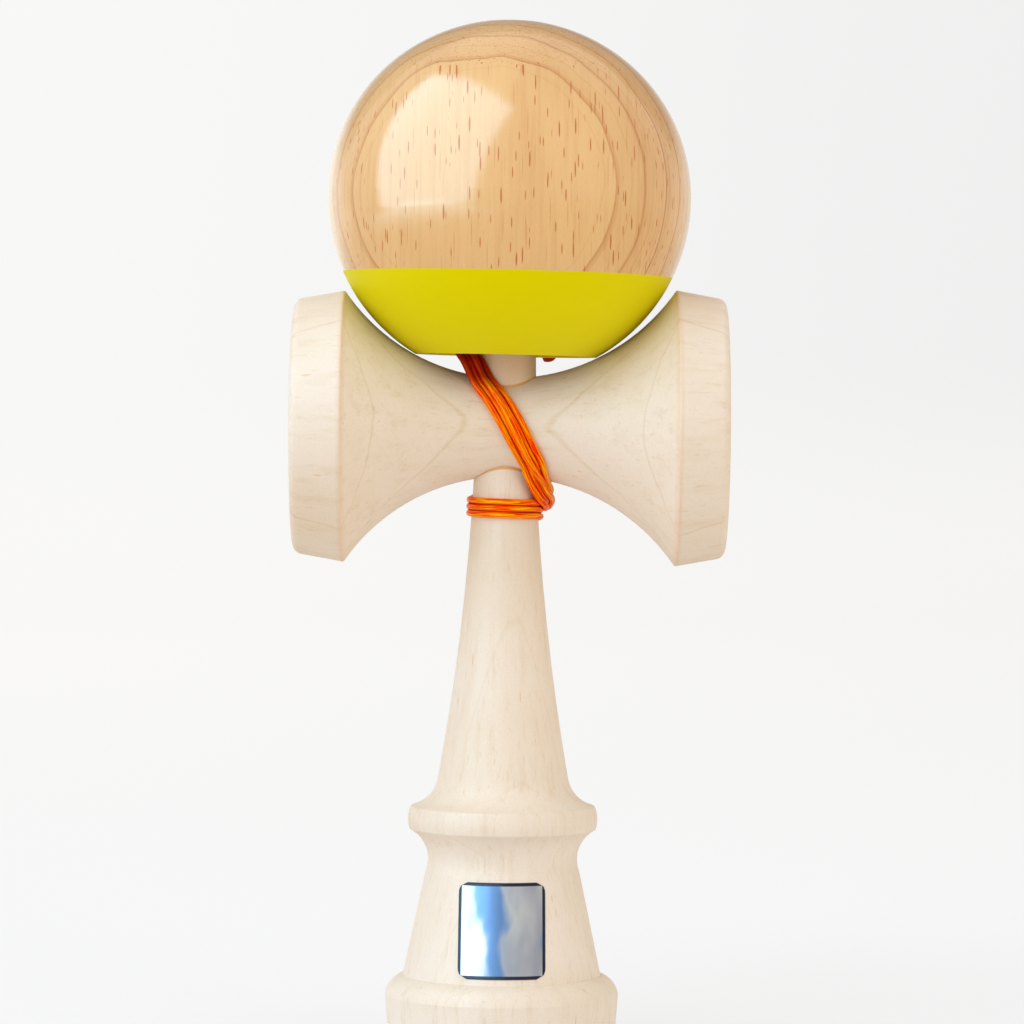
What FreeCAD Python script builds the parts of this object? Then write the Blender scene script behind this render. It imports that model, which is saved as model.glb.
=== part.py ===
"""Kendama: a wooden cup-and-ball toy with its string wound away round the cross piece.

Millimetres. +Z is up along the handle, X runs through the two cups of the cross piece, with the larger
cup at +X, and the front of the toy is -Y. The origin is the middle of the base's rim, on the axis of the
handle. The ball stands mouth down over the spike, on the crest of the cross piece.
"""

import FreeCAD
import Part
import Sketcher

import math
import os
import re

Vector = FreeCAD.Vector

# Driving dimensions in millimetres and degrees. Heights of the handle and the string are above the base's
# rim, those of the cross piece are from its own axis, and those of the ball are from its own centre.
DRIVING_SIZES = {
    # handle: base with the small cup under it
    "base_cup_radius": 16.6,
    "base_cup_depth": 6.8,
    "base_rim_width": 2.1,
    "base_foot_round": 1.0,
    "base_side_flare": 0.6,
    "base_side_height": 8.0,
    "base_shoulder_round": 3.8,
    "base_shoulder_draw": 2.95,
    "base_shoulder_rise": 3.2,
    # handle: cone, neck, collar ring and grip
    "neck_cone_radius": 12.75,
    "neck_cone_rise": 17.0,
    "neck_cove_radius": 5.6,
    "ring_foot_radius": 15.4,
    "ring_foot_rise": 7.1,
    "ring_bulge_radius": 5.0,
    "ring_draw": 0.2,
    "ring_rise": 3.8,
    "ring_edge_round": 0.35,
    "grip_cove_radius": 5.73,
    "grip_foot_radius": 10.75,
    "grip_foot_rise": 4.7,
    "grip_flare_radius": 390.0,
    "grip_top_radius": 5.15,
    # handle: taper that the cross piece jams on, and the spike
    "taper_top_radius": 5.0,
    "taper_overhang": 1.5,
    "spike_end_radius": 2.9,
    "spike_height": 143.5,
    "spike_tip_rise": 2.5,
    # cross piece
    "cross_height": 101.7,
    "waist_radius": 8.13,
    "waist_shift": 0.3,
    "small_ridge_reach": 26.6,
    "small_ridge_radius": 22.4,
    "small_cup_reach": 34.9,
    "small_cup_radius": 17.0,
    "small_rim_width": 3.9,
    "small_cup_depth": 8.0,
    "big_ridge_reach": 28.1,
    "big_ridge_radius": 22.8,
    "big_cup_reach": 36.3,
    "big_cup_radius": 19.0,
    "big_rim_width": 2.3,
    "big_cup_depth": 9.0,
    "cup_rim_round": 1.5,
    "cup_lip_round": 0.7,
    "ridge_round": 0.3,
    "taper_clearance": 0.05,
    # string holes through the cross piece and the handle
    "string_hole_radius": 1.1,
    "knot_recess_radius": 2.2,
    "knot_recess_depth": 3.4,
    "cut_overrun": 4.0,
    # ball
    "ball_radius": 30.0,
    "ball_side_shift": 1.0,
    "ball_crown_sink": 0.65,
    "mouth_radius": 14.8,
    "mouth_round": 0.4,
    "mouth_bevel_depth": 3.3,
    "hole_share": 0.375,
    "hole_end_share": 0.34,
    "hole_point_rise": 5.2,
    "crown_wall": 13.55,
    "crown_hole_radius": 1.5,
    "crown_hole_round": 3.0,
    "ball_seat_gap": 0.1,
    # bead and knots
    "bead_radius": 3.25,
    "bead_hole_radius": 1.0,
    "bead_seat_gap": 0.3,
    "knot_radius": 1.8,
    "knot_half_length": 1.4,
    "knot_end_radius": 0.6,
    "knot_seat_gap": 0.2,
    # string: its section, and how far its turns stand from the wood and from each other
    "cord_radius": 0.48,
    "cord_gap": 0.32,
    "strand_pitch": 1.5,
    "layer_pitch": 1.5,
    # string: band of turns round the handle under the cross piece
    "band_height": 90.0,
    "band_pitch": 1.45,
    "band_start_dive": 14.93,
    "band_dive": 2.0,
    "band_end_turn": 310.69,
    "band_end_climb": -5.71,
    "lead_turn": 336.03,
    "lead_climb": 48.7,
    "exit_straight": 1.55,
    # string: oblique loops, by where the first strand passes each side of the toy and how it leans there
    "loop_back_shift": 5.17,
    "loop_back_turn": 229.45,
    "loop_back_lean": 24.16,
    "loop_behind_turn": -1.11,
    "loop_behind_lean": 14.8,
    "loop_front_shift": 0.85,
    "loop_front_lean": 29.4,
    "loop_upper_shift": 5.6,
    "loop_upper_lean": 37.73,
    "loop_lower_shift": 0.34,
    "loop_lower_turn": 98.79,
    "loop_lower_lean": 0.01,
    "loop_dive_height": 90.71,
    "loop_dive_turn": 201.03,
    "loop_dive_climb": 42.47,
    "loop_right_height": 85.95,
    "loop_right_turn": 247.29,
    "loop_right_climb": 25.23,
    "loop_under_turn": 303.07,
    "loop_under_climb": 24.58,
    "loop_rise_height": 91.4,
    "loop_rise_turn": 328.76,
    "loop_rise_climb": 87.26,
    "tail_shift": 1.59,
    "tail_turn": 238.3,
    "tail_lean": 0.01,
}

# The string's winding: quarter turns of its band, and the place of each loop, as how many strands it lies
# from the first and in which layer
BAND_QUARTERS = 11
LOOP_LOWER_STRANDS = 3
LOOP_SLOTS = [(0, 0), (1, 0), (2, 0), (1, 1), (0, 1)]
TAIL_SLOT = (-1, 1)

CIRCLE = 360.0
LEFT = 1
RIGHT = -1
SAME_PLACE = 1e-4

doc = FreeCAD.newDocument("Kendama")
sheet = doc.addObject("Spreadsheet::Sheet", "Sizes")


def fill_sheet():
    for row, (name, number) in enumerate(DRIVING_SIZES.items(), start=1):
        sheet.set(f"A{row}", name)
        sheet.set(f"B{row}", str(number))
        sheet.setAlias(f"B{row}", name)
    doc.recompute()


def bound(formula):
    """The formula with each named size read from the sheet."""
    return re.sub(r"[a-z]\w*_\w+", lambda found: "Sizes." + found.group(0), formula)


def size(formula):
    return float(sheet.evalExpression(bound(formula)))


# Formulas for the sizes that follow from the driving ones
FOOT_RADIUS = "(base_cup_radius + base_rim_width)"
SIDE_RADIUS = f"({FOOT_RADIUS} + base_side_flare)"
SHOULDER_RADIUS = f"({SIDE_RADIUS} - base_shoulder_draw)"
SHOULDER_HEIGHT = "(base_side_height + base_shoulder_rise)"
CONE_HEIGHT = f"({SHOULDER_HEIGHT} + neck_cone_rise)"
RING_FOOT = f"({CONE_HEIGHT} + ring_foot_rise)"
RING_TOP = f"({RING_FOOT} + ring_rise)"
RING_TOP_RADIUS = "(ring_foot_radius - ring_draw)"
GRIP_FOOT = f"({RING_TOP} + grip_foot_rise)"
TAPER_FOOT = "(cross_height - waist_radius)"
TAPER_TOP = "(cross_height + waist_radius + taper_overhang)"
SPIKE_END = "(spike_height - spike_tip_rise)"
SPIKE_RISE = f"({SPIKE_END} - {TAPER_TOP})"
SPIKE_DRAW = "(taper_top_radius - spike_end_radius)"
SMALL_RIM = "(small_cup_radius + small_rim_width)"
BIG_RIM = "(big_cup_radius + big_rim_width)"
SMALL_RISE = "(small_ridge_radius - waist_radius)"
SMALL_RUN = "(small_ridge_reach + waist_shift)"
SMALL_FLARE = f"(({SMALL_RUN}^2 + {SMALL_RISE}^2) / (2 * {SMALL_RISE}))"
BIG_RISE = "(big_ridge_radius - waist_radius)"
BIG_RUN = "(big_ridge_reach - waist_shift)"
BIG_FLARE = f"(({BIG_RUN}^2 + {BIG_RISE}^2) / (2 * {BIG_RISE}))"
SMALL_CREST = f"(waist_radius + {SMALL_FLARE} - sqrt({SMALL_FLARE}^2 - (mouth_radius + waist_shift)^2))"
BIG_CREST = f"(waist_radius + {BIG_FLARE} - sqrt({BIG_FLARE}^2 - (mouth_radius - waist_shift)^2))"
MOUTH_DROP = "sqrt(ball_radius^2 - mouth_radius^2)"
BALL_SIDE = "(ball_radius - ball_side_shift)"
CROWN_HEIGHT = "(ball_radius - ball_crown_sink)"
CROWN_RADIUS = (
    f"((ball_side_shift^2 + {CROWN_HEIGHT}^2 - {BALL_SIDE}^2)"
    " / (2 * (ball_side_shift - ball_crown_sink)))"
)
CROWN_DROP = f"({CROWN_RADIUS} - {CROWN_HEIGHT})"
CROWN_EDGE = "(crown_hole_radius + crown_hole_round)"
CROWN_EDGE_RISE = f"sqrt(({CROWN_RADIUS} - crown_hole_round)^2 - {CROWN_EDGE}^2)"
CROWN_EDGE_SHARE = f"({CROWN_RADIUS} / ({CROWN_RADIUS} - crown_hole_round))"
CROWN_SIDE_SHARE = f"({CROWN_RADIUS} / ({CROWN_RADIUS} - {BALL_SIDE}))"
HOLE_RADIUS = "(ball_radius * hole_share)"
HOLE_END_RADIUS = "(ball_radius * hole_end_share)"
POINT_RUN = f"({HOLE_END_RADIUS} - crown_hole_radius)"
POINT_HEIGHT = f"({CROWN_HEIGHT} - crown_wall)"
POINT_SLANT = f"sqrt({POINT_RUN}^2 + hole_point_rise^2)"
BEAD_HEIGHT = (
    f"({POINT_HEIGHT} + (crown_hole_radius * hole_point_rise"
    f" - (bead_radius + bead_seat_gap) * {POINT_SLANT}) / {POINT_RUN})"
)
BEAD_END = "sqrt(bead_radius^2 - bead_hole_radius^2)"
STOP_KNOT_HEIGHT = f"({BEAD_HEIGHT} - {BEAD_END} - knot_seat_gap - knot_half_length)"
RECESS_FLOOR = "((grip_top_radius + taper_top_radius) / 2 - knot_recess_depth)"
ANCHOR_DEPTH = f"({RECESS_FLOOR} + knot_seat_gap + knot_half_length)"


def new_body(name):
    body = doc.addObject("PartDesign::Body", name)
    body.Label = name
    return body


def new_sketch(body, name, plane):
    """An empty sketch on one of the body's own origin planes."""
    sketch = body.newObject("Sketcher::SketchObject", name)
    support = next(item for item in body.Origin.OriginFeatures if item.Role == plane)
    sketch.AttachmentSupport = [(support, "")]
    sketch.MapMode = "FlatFace"
    return sketch


def bind_last(sketch, formula):
    sketch.setExpression(f"Constraints[{sketch.ConstraintCount - 1}]", bound(formula))


def pin(sketch, geometry, point, across, up):
    """Holds one point of the sketch at the named distances from its origin."""
    for kind, axis, formula in (("DistanceX", -2, across), ("DistanceY", -1, up)):
        if formula == "0":
            sketch.addConstraint(Sketcher.Constraint("PointOnObject", geometry, point, axis))
        else:
            number = size(formula)
            sketch.addConstraint(Sketcher.Constraint(kind, -1, 1, geometry, point, number))
            bind_last(sketch, formula)


def arc_between(start, end, radius, side):
    """The shorter arc from start to end, with its centre to the left or right of the way along it."""
    chord = end - start
    left = Vector(-chord.y, chord.x, 0).normalize()
    reach = math.sqrt(radius**2 - (chord.Length / 2) ** 2)
    centre = (start + end) / 2 + left * (reach * side)
    spokes = [start - centre, end - centre][::side]
    first, last = [math.atan2(spoke.y, spoke.x) for spoke in spokes]
    if last < first:
        last += 2 * math.pi
    return Part.ArcOfCircle(Part.Circle(centre, Vector(0, 0, 1), radius), first, last)


def outline(body, name, plane, corners):
    """A closed sketch whose edges end at the corners (across, up) or, for arcs, (across, up, radius, side)."""
    sketch = new_sketch(body, name, plane)
    points = [Vector(size(across), size(up), 0) for across, up, *_ in corners]
    ends = []
    for index, (_, _, *bend) in enumerate(corners):
        start, end = points[index - 1], points[index]
        if bend:
            radius, side = bend
            sketch.addGeometry(arc_between(start, end, size(radius), side), False)
            ends.append((1, 2)[::side])
        else:
            sketch.addGeometry(Part.LineSegment(start, end), False)
            ends.append((1, 2))
    for index, (across, up, *bend) in enumerate(corners):
        before = (index - 1) % len(corners)
        meeting = Sketcher.Constraint("Coincident", before, ends[before][1], index, ends[index][0])
        sketch.addConstraint(meeting)
        pin(sketch, index, ends[index][1], across, up)
        if bend:
            sketch.addConstraint(Sketcher.Constraint("Radius", index, size(bend[0])))
            bind_last(sketch, bend[0])
    return sketch


def revolved(body, kind, name, sketch, axis):
    """A turned form, or with Groove a turned cut, of the sketch about one of its own axes."""
    turned = body.newObject(f"PartDesign::{kind}", name)
    turned.Profile = sketch
    turned.ReferenceAxis = (sketch, [axis])
    turned.Angle = CIRCLE
    return turned


def rounded(body, name, radius, rings):
    """Rounds the body's circular edges that have those (centre, radius) places."""
    doc.recompute()
    base = body.Tip
    names = []
    for number, edge in enumerate(base.Shape.Edges, start=1):
        for centre, ring_radius in rings:
            if (
                not edge.Degenerated
                and isinstance(edge.Curve, Part.Circle)
                and abs(edge.Curve.Radius - ring_radius) < SAME_PLACE
                and edge.Curve.Center.distanceToPoint(centre) < SAME_PLACE
            ):
                names.append(f"Edge{number}")
    fillet = body.newObject("PartDesign::Fillet", name)
    fillet.Base = (base, names)
    fillet.setExpression("Radius", bound(radius))
    return fillet


def drilled(body, name, radius, height, start, length, both_ways=False):
    """A round hole along Y through the body, from start in front of its axis towards the front."""
    doc.recompute()
    volume = body.Shape.Volume
    sketch = new_sketch(body, f"{name}_circle", "XZ_Plane")
    sketch.setExpression("AttachmentOffset.Base.z", bound(start))
    circle = Part.Circle(Vector(0, size(height), 0), Vector(0, 0, 1), size(radius))
    sketch.addGeometry(circle, False)
    pin(sketch, 0, 3, "0", height)
    sketch.addConstraint(Sketcher.Constraint("Radius", 0, size(radius)))
    bind_last(sketch, radius)
    pocket = body.newObject("PartDesign::Pocket", name)
    pocket.Profile = sketch
    pocket.Reversed = True
    pocket.Midplane = both_ways
    pocket.setExpression("Length", bound(length))
    doc.recompute()
    if body.Shape.Volume >= volume:
        raise RuntimeError(f"{name} cut nothing")
    return pocket


def make_handle():
    """The ken: base with its cup, neck, collar ring, grip, taper and spike, turned as one piece."""
    body = new_body("ken_handle")
    profile = outline(body, "ken_profile", "XZ_Plane", [
        ("0", "base_cup_depth"),
        ("base_cup_radius", "0", "(base_cup_radius^2 + base_cup_depth^2) / (2 * base_cup_depth)", RIGHT),
        (FOOT_RADIUS, "0"),
        (SIDE_RADIUS, "base_side_height"),
        (SHOULDER_RADIUS, SHOULDER_HEIGHT, "base_shoulder_round", LEFT),
        ("neck_cone_radius", CONE_HEIGHT),
        ("ring_foot_radius", RING_FOOT, "neck_cove_radius", RIGHT),
        (RING_TOP_RADIUS, RING_TOP, "ring_bulge_radius", LEFT),
        ("grip_foot_radius", GRIP_FOOT, "grip_cove_radius", RIGHT),
        ("grip_top_radius", TAPER_FOOT, "grip_flare_radius", RIGHT),
        ("taper_top_radius", TAPER_TOP),
        ("spike_end_radius", SPIKE_END, f"({SPIKE_DRAW}^2 + {SPIKE_RISE}^2) / (2 * {SPIKE_DRAW})", LEFT),
        ("0", "spike_height", "(spike_end_radius^2 + spike_tip_rise^2) / (2 * spike_tip_rise)", LEFT),
    ])
    revolved(body, "Revolution", "ken_turned", profile, "V_Axis")
    rounded(body, "ken_foot_round", "base_foot_round", [
        (Vector(), size(FOOT_RADIUS)),
    ])
    rounded(body, "ken_ring_round", "ring_edge_round", [
        (Vector(0, 0, size(RING_FOOT)), size("ring_foot_radius")),
        (Vector(0, 0, size(RING_TOP)), size(RING_TOP_RADIUS)),
    ])
    drilled(body, "ken_string_hole", "string_hole_radius", "cross_height", "0",
            "2 * (grip_top_radius + cut_overrun)", both_ways=True)
    drilled(body, "ken_knot_recess", "knot_recess_radius", "cross_height", RECESS_FLOOR,
            "knot_recess_depth + cut_overrun")
    return body


def make_cross_piece():
    """The sarado: two cups back to back on a waisted stem, bored to jam on the handle's taper."""
    body = new_body("sarado_cross")
    body.setExpression("Placement.Base.z", bound("cross_height"))
    small_sphere = "(small_cup_radius^2 + small_cup_depth^2) / (2 * small_cup_depth)"
    big_sphere = "(big_cup_radius^2 + big_cup_depth^2) / (2 * big_cup_depth)"
    profile = outline(body, "sarado_profile", "XZ_Plane", [
        ("small_cup_depth - small_cup_reach", "0"),
        ("-small_cup_reach", "small_cup_radius", small_sphere, LEFT),
        ("-small_cup_reach", SMALL_RIM),
        ("-small_ridge_reach", "small_ridge_radius"),
        ("waist_shift", "waist_radius", SMALL_FLARE, LEFT),
        ("big_ridge_reach", "big_ridge_radius", BIG_FLARE, LEFT),
        ("big_cup_reach", BIG_RIM),
        ("big_cup_reach", "big_cup_radius"),
        ("big_cup_reach - big_cup_depth", "0", big_sphere, LEFT),
    ])
    revolved(body, "Revolution", "sarado_turned", profile, "H_Axis")
    small_face = Vector(-size("small_cup_reach"), 0, 0)
    big_face = Vector(size("big_cup_reach"), 0, 0)
    rounded(body, "sarado_rim_round", "cup_rim_round", [
        (small_face, size(SMALL_RIM)),
        (big_face, size(BIG_RIM)),
    ])
    rounded(body, "sarado_lip_round", "cup_lip_round", [
        (small_face, size("small_cup_radius")),
        (big_face, size("big_cup_radius")),
    ])
    rounded(body, "sarado_ridge_round", "ridge_round", [
        (Vector(-size("small_ridge_reach"), 0, 0), size("small_ridge_radius")),
        (Vector(size("big_ridge_reach"), 0, 0), size("big_ridge_radius")),
    ])
    volume = body.Shape.Volume
    taper = "((grip_top_radius - taper_top_radius) / (2 * waist_radius + taper_overhang))"
    bore = outline(body, "sarado_bore_profile", "XZ_Plane", [
        ("0", "-waist_radius - cut_overrun"),
        (f"grip_top_radius + taper_clearance + {taper} * cut_overrun", "-waist_radius - cut_overrun"),
        (f"taper_top_radius + taper_clearance - {taper} * (cut_overrun - taper_overhang)",
         "waist_radius + cut_overrun"),
        ("0", "waist_radius + cut_overrun"),
    ])
    revolved(body, "Groove", "sarado_bore", bore, "V_Axis")
    doc.recompute()
    if body.Shape.Volume >= volume:
        raise RuntimeError("the bore of the cross piece cut nothing")
    drilled(body, "sarado_string_hole", "string_hole_radius", "0", "-waist_radius - cut_overrun",
            "waist_radius + cut_overrun")
    return body


def place_with_ball(body):
    """The ball's mouth rests on both slopes of the crest, so it leans towards the lower one."""
    body.Placement = FreeCAD.Placement(Vector(), FreeCAD.Rotation(Vector(0, 1, 0), 1))
    lean = f"atan(({SMALL_CREST} - {BIG_CREST}) / (2 * mouth_radius))"
    body.setExpression("Placement.Rotation.Angle", bound(lean))
    seat = f"(cross_height + ({SMALL_CREST} + {BIG_CREST}) / 2 + ball_seat_gap)"
    body.setExpression("Placement.Base.x", bound(f"{MOUTH_DROP} * sin({lean})"))
    body.setExpression("Placement.Base.z", bound(f"{seat} + {MOUTH_DROP} * cos({lean})"))


def make_ball():
    """The tama: a ball a little flat at the crown, bored from below, with a string hole in the crown."""
    body = new_body("tama_ball")
    profile = outline(body, "tama_profile", "XZ_Plane", [
        ("mouth_radius", f"-{MOUTH_DROP}"),
        ("ball_radius", "0", "ball_radius", LEFT),
        (f"ball_side_shift * {CROWN_SIDE_SHARE}", f"{CROWN_DROP} * ({CROWN_SIDE_SHARE} - 1)", BALL_SIDE, LEFT),
        (f"{CROWN_EDGE} * {CROWN_EDGE_SHARE}", f"{CROWN_EDGE_RISE} * {CROWN_EDGE_SHARE} - {CROWN_DROP}",
         CROWN_RADIUS, LEFT),
        ("crown_hole_radius", f"{CROWN_EDGE_RISE} - {CROWN_DROP}", "crown_hole_round", LEFT),
        ("crown_hole_radius", POINT_HEIGHT),
        (HOLE_END_RADIUS, f"{POINT_HEIGHT} - hole_point_rise"),
        (HOLE_RADIUS, f"mouth_bevel_depth - {MOUTH_DROP}"),
    ])
    revolved(body, "Revolution", "tama_turned", profile, "V_Axis")
    rounded(body, "tama_mouth_round", "mouth_round", [
        (Vector(0, 0, -size(MOUTH_DROP)), size("mouth_radius")),
    ])
    place_with_ball(body)
    return body


def make_bead():
    """The bead that the ball hangs and turns on, drawn up into the point of the ball's hole."""
    body = new_body("stop_bead")
    profile = outline(body, "bead_profile", "XZ_Plane", [
        ("bead_hole_radius", f"{BEAD_HEIGHT} - {BEAD_END}"),
        ("bead_radius", BEAD_HEIGHT, "bead_radius", LEFT),
        ("bead_hole_radius", f"{BEAD_HEIGHT} + {BEAD_END}", "bead_radius", LEFT),
    ])
    revolved(body, "Revolution", "bead_turned", profile, "V_Axis")
    place_with_ball(body)
    return body


def make_knot(name, height):
    """A tight knot: round, with a small flat at each end where the string leaves it."""
    body = new_body(name)
    bulge = (
        "(((knot_radius - knot_end_radius)^2 + knot_half_length^2) / (2 * (knot_radius - knot_end_radius)))"
    )
    profile = outline(body, f"{name}_profile", "XZ_Plane", [
        ("0", f"{height} - knot_half_length"),
        ("knot_end_radius", f"{height} - knot_half_length"),
        ("knot_radius", height, bulge, LEFT),
        ("knot_end_radius", f"{height} + knot_half_length", bulge, LEFT),
        ("0", f"{height} + knot_half_length"),
    ])
    revolved(body, "Revolution", f"{name}_turned", profile, "V_Axis")
    return body


def make_stop_knot():
    body = make_knot("stop_knot", STOP_KNOT_HEIGHT)
    place_with_ball(body)
    return body


def make_anchor_knot():
    """The knot at the string's inner end, in the recess of the handle's cross hole."""
    body = make_knot("anchor_knot", ANCHOR_DEPTH)
    body.Placement = FreeCAD.Placement(Vector(), FreeCAD.Rotation(Vector(1, 0, 0), CIRCLE / 4))
    body.setExpression("Placement.Base.z", bound("cross_height"))
    return body


def crest_radius(across):
    """The cross piece's radius at a place along its own axis, between the ridges, and its slope there."""
    away = across - size("waist_shift")
    flare = size(SMALL_FLARE if away < 0 else BIG_FLARE)
    drop = math.sqrt(flare**2 - away**2)
    return size("waist_radius") + flare - drop, away / drop


def shaft_radius(height):
    """The handle's radius under the cross piece, where the grip is nearly straight."""
    drop = size(TAPER_FOOT) - height
    foot_drop = size(f"{TAPER_FOOT} - {GRIP_FOOT}")
    foot_rise = size("grip_foot_radius - grip_top_radius")
    flare = size("grip_flare_radius")
    straight_share = foot_rise / foot_drop - foot_drop / (2 * flare)
    return size("grip_top_radius") + drop * straight_share + drop**2 / (2 * flare)


def stand_off(layer):
    """How far the middle of a strand in that layer stands from the wood."""
    return size("cord_gap + cord_radius") + layer * size("layer_pitch")


def on_cross(across, turn, layer, lean=0.0, aside=0.0):
    """A station on the cross piece: turn is from its crest towards the front, lean is towards +X, and
    aside is how far the strand lies to the left of its first neighbour, square to the way along."""
    lean = math.radians(lean)
    across += aside * math.cos(lean)
    radius, slope = crest_radius(across)
    radius += stand_off(layer)
    angle = math.radians(turn) - aside * math.sin(lean) / radius
    outward = Vector(0, -math.sin(angle), math.cos(angle))
    onward = Vector(0, -math.cos(angle), -math.sin(angle))
    place = Vector(across, 0, size("cross_height")) + outward * radius
    along = Vector(1, 0, 0) + outward * slope
    heading = onward * math.cos(lean) + along * math.sin(lean)
    return place, heading.normalize()


def on_shaft(height, turn, layer, climb=0.0, aside=0.0):
    """A station round the handle: turn is from the back by way of the left side, climb is upwards."""
    climb = math.radians(climb)
    height += aside * math.cos(climb)
    radius = shaft_radius(height) + stand_off(layer)
    angle = math.radians(turn) - aside * math.sin(climb) / radius
    outward = Vector(-math.sin(angle), math.cos(angle), 0)
    onward = Vector(-math.cos(angle), -math.sin(angle), 0)
    heading = onward * math.cos(climb) + Vector(0, 0, math.sin(climb))
    return Vector(0, 0, height) + outward * radius, heading


def behind_spike(turn, slot, layer):
    """A station round the spike, on the cross piece's back: turn is from the back towards the left."""
    out = size("taper_top_radius") + stand_off(0) + slot * size("strand_pitch")

    def place(degrees):
        across, back = -out * math.sin(math.radians(degrees)), out * math.cos(math.radians(degrees))
        radius = crest_radius(across)[0] + stand_off(layer)
        return Vector(across, back, size("cross_height") + math.sqrt(radius**2 - back**2))

    return place(turn), (place(turn + 1) - place(turn - 1)).normalize()


def tangent_point(centre, radius, point, side):
    """Where the line from the point touches the circle, to the right or left of the centre."""
    away = point - centre
    spread = math.acos(radius / away.Length) * side
    spoke = Vector(
        away.x * math.cos(spread) - away.y * math.sin(spread),
        away.x * math.sin(spread) + away.y * math.cos(spread),
        0,
    )
    return centre + spoke.normalize() * radius


def arc_edge(start, heading, end):
    """The arc, or the straight, that leaves start along the heading and reaches end."""
    chord = end - start
    sideways = chord - heading * chord.dot(heading)
    if sideways.Length < SAME_PLACE:
        return Part.makeLine(start, end), math.inf
    radius = chord.Length**2 / (2 * sideways.Length)
    centre = start + sideways.normalize() * radius
    middle = (start + end) / 2 - centre
    if chord.dot(heading) < 0:
        middle = -middle
    middle = centre + middle.normalize() * radius
    return Part.Arc(start, middle, end).toShape(), radius


def biarc(first, second):
    """Two tangent arcs from one station, a place and a heading, to the next."""
    (start, leaving), (end, arriving) = first, second
    chord = end - start
    both = leaving + arriving
    spread = 2 * (1 - leaving.dot(arriving))
    forward = chord.dot(both)
    if spread < SAME_PLACE:
        reach = chord.dot(chord) / (2 * forward)
    else:
        reach = (math.sqrt(forward**2 + spread * chord.dot(chord)) - forward) / spread
    joint = (start + leaving * reach + end - arriving * reach) / 2
    turned = (joint - (start + leaving * reach)).normalize()
    return [arc_edge(start, leaving, joint), arc_edge(joint, turned, end)]


def tube(name, arcs):
    """One unbroken round tube along the arcs, as a solid of its own."""
    wire = Part.Wire([edge for edge, _ in arcs])
    start = wire.Edges[0]
    place = start.valueAt(start.FirstParameter)
    heading = start.tangentAt(start.FirstParameter)
    section = Part.Wire([Part.makeCircle(size("cord_radius"), place, heading)])
    solid = wire.makePipeShell([section], True, False)
    feature = doc.addObject("Part::Feature", name)
    feature.Label = name
    feature.Shape = solid
    area = math.pi * size("cord_radius") ** 2
    tightest = min(radius for _, radius in arcs)
    print(
        f"{name}: length {wire.Length:.1f}, tightest radius {tightest:.2f},"
        f" volume over section times length {solid.Volume / (area * wire.Length):.4f}"
    )
    return feature


def least_gap(arcs):
    """The least gap of a tube to itself, measured between points along its middle line."""
    spacing = size("cord_radius") / 2
    near = size("cord_radius") * 2 * math.pi
    points = []
    along = 0.0
    for edge, _ in arcs:
        count = max(2, math.ceil(edge.Length / spacing))
        for step, point in enumerate(edge.discretize(count + 1)[:-1]):
            points.append((along + edge.Length * step / count, point))
        along += edge.Length
    cell = size("strand_pitch + layer_pitch")
    cells = {}
    least = math.inf
    for place, point in points:
        key = tuple(math.floor(value / cell) for value in point)
        for other_key in neighbours(key):
            for other_place, other in cells.get(other_key, ()):
                if place - other_place > near:
                    least = min(least, point.distanceToPoint(other))
        cells.setdefault(key, []).append((place, point))
    return least - 2 * size("cord_radius")


def neighbours(key):
    steps = (-1, 0, 1)
    return [(key[0] + a, key[1] + b, key[2] + c) for a in steps for b in steps for c in steps]


def tail_plane():
    """The upright plane, seen from the ball, in which the string's tail goes up the ball's back."""
    ball = doc.getObject("tama_ball").Placement
    foot, _ = on_cross(size("tail_shift"), 3 * CIRCLE / 4, 1)
    foot = ball.inverse().multVec(foot)
    across = Vector(foot.x, foot.y, 0)
    return ball, across.Length, foot.z, across.normalize()


def tail_points():
    """The tail's points in its plane, as (out from the ball's axis, up from its centre)."""
    _, foot_out, foot_up, _ = tail_plane()
    stand = stand_off(0)
    foot = Vector(foot_out, foot_up, 0)
    lift_off = tangent_point(Vector(), size("ball_radius") + stand, foot, LEFT)
    equator = Vector(size("ball_radius") + stand, 0, 0)
    crown = Vector(0, -size(CROWN_DROP), 0)
    side = Vector(size("ball_side_shift"), 0, 0)
    shoulder = crown + (side - crown).normalize() * (size(CROWN_RADIUS) + stand)
    edge = Vector(size(CROWN_EDGE), size(f"{CROWN_EDGE_RISE} - {CROWN_DROP}"), 0)
    brink = crown + (edge - crown).normalize() * (size(CROWN_RADIUS) + stand)
    end = Vector(0, size(f"{STOP_KNOT_HEIGHT} + knot_half_length"), 0)
    drop = tangent_point(edge, size("crown_hole_round") + stand, end, RIGHT)
    return foot, lift_off, equator, shoulder, brink, drop, end


def in_tail_plane(point):
    ball, _, _, outward = tail_plane()
    return ball.multVec(outward * point.x + Vector(0, 0, point.y))


def band_stations():
    """Down from the string hole, three turns round the handle, and up over them at the back."""
    pitch = size("band_pitch")
    quarter = CIRCLE / 4
    top = size("band_height")
    stations = [on_shaft(top + pitch, quarter / 2, 0, -size("band_start_dive"))]
    for step in range(BAND_QUARTERS):
        stations.append(on_shaft(top - pitch * step / 4, quarter * (step + 1), 0, -size("band_dive")))
    foot = top - pitch * BAND_QUARTERS / 4
    stations.append(on_shaft(foot, size("band_end_turn"), 0, size("band_end_climb")))
    stations.append(on_shaft(foot + pitch, size("lead_turn"), 1, size("lead_climb")))
    return stations


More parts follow.
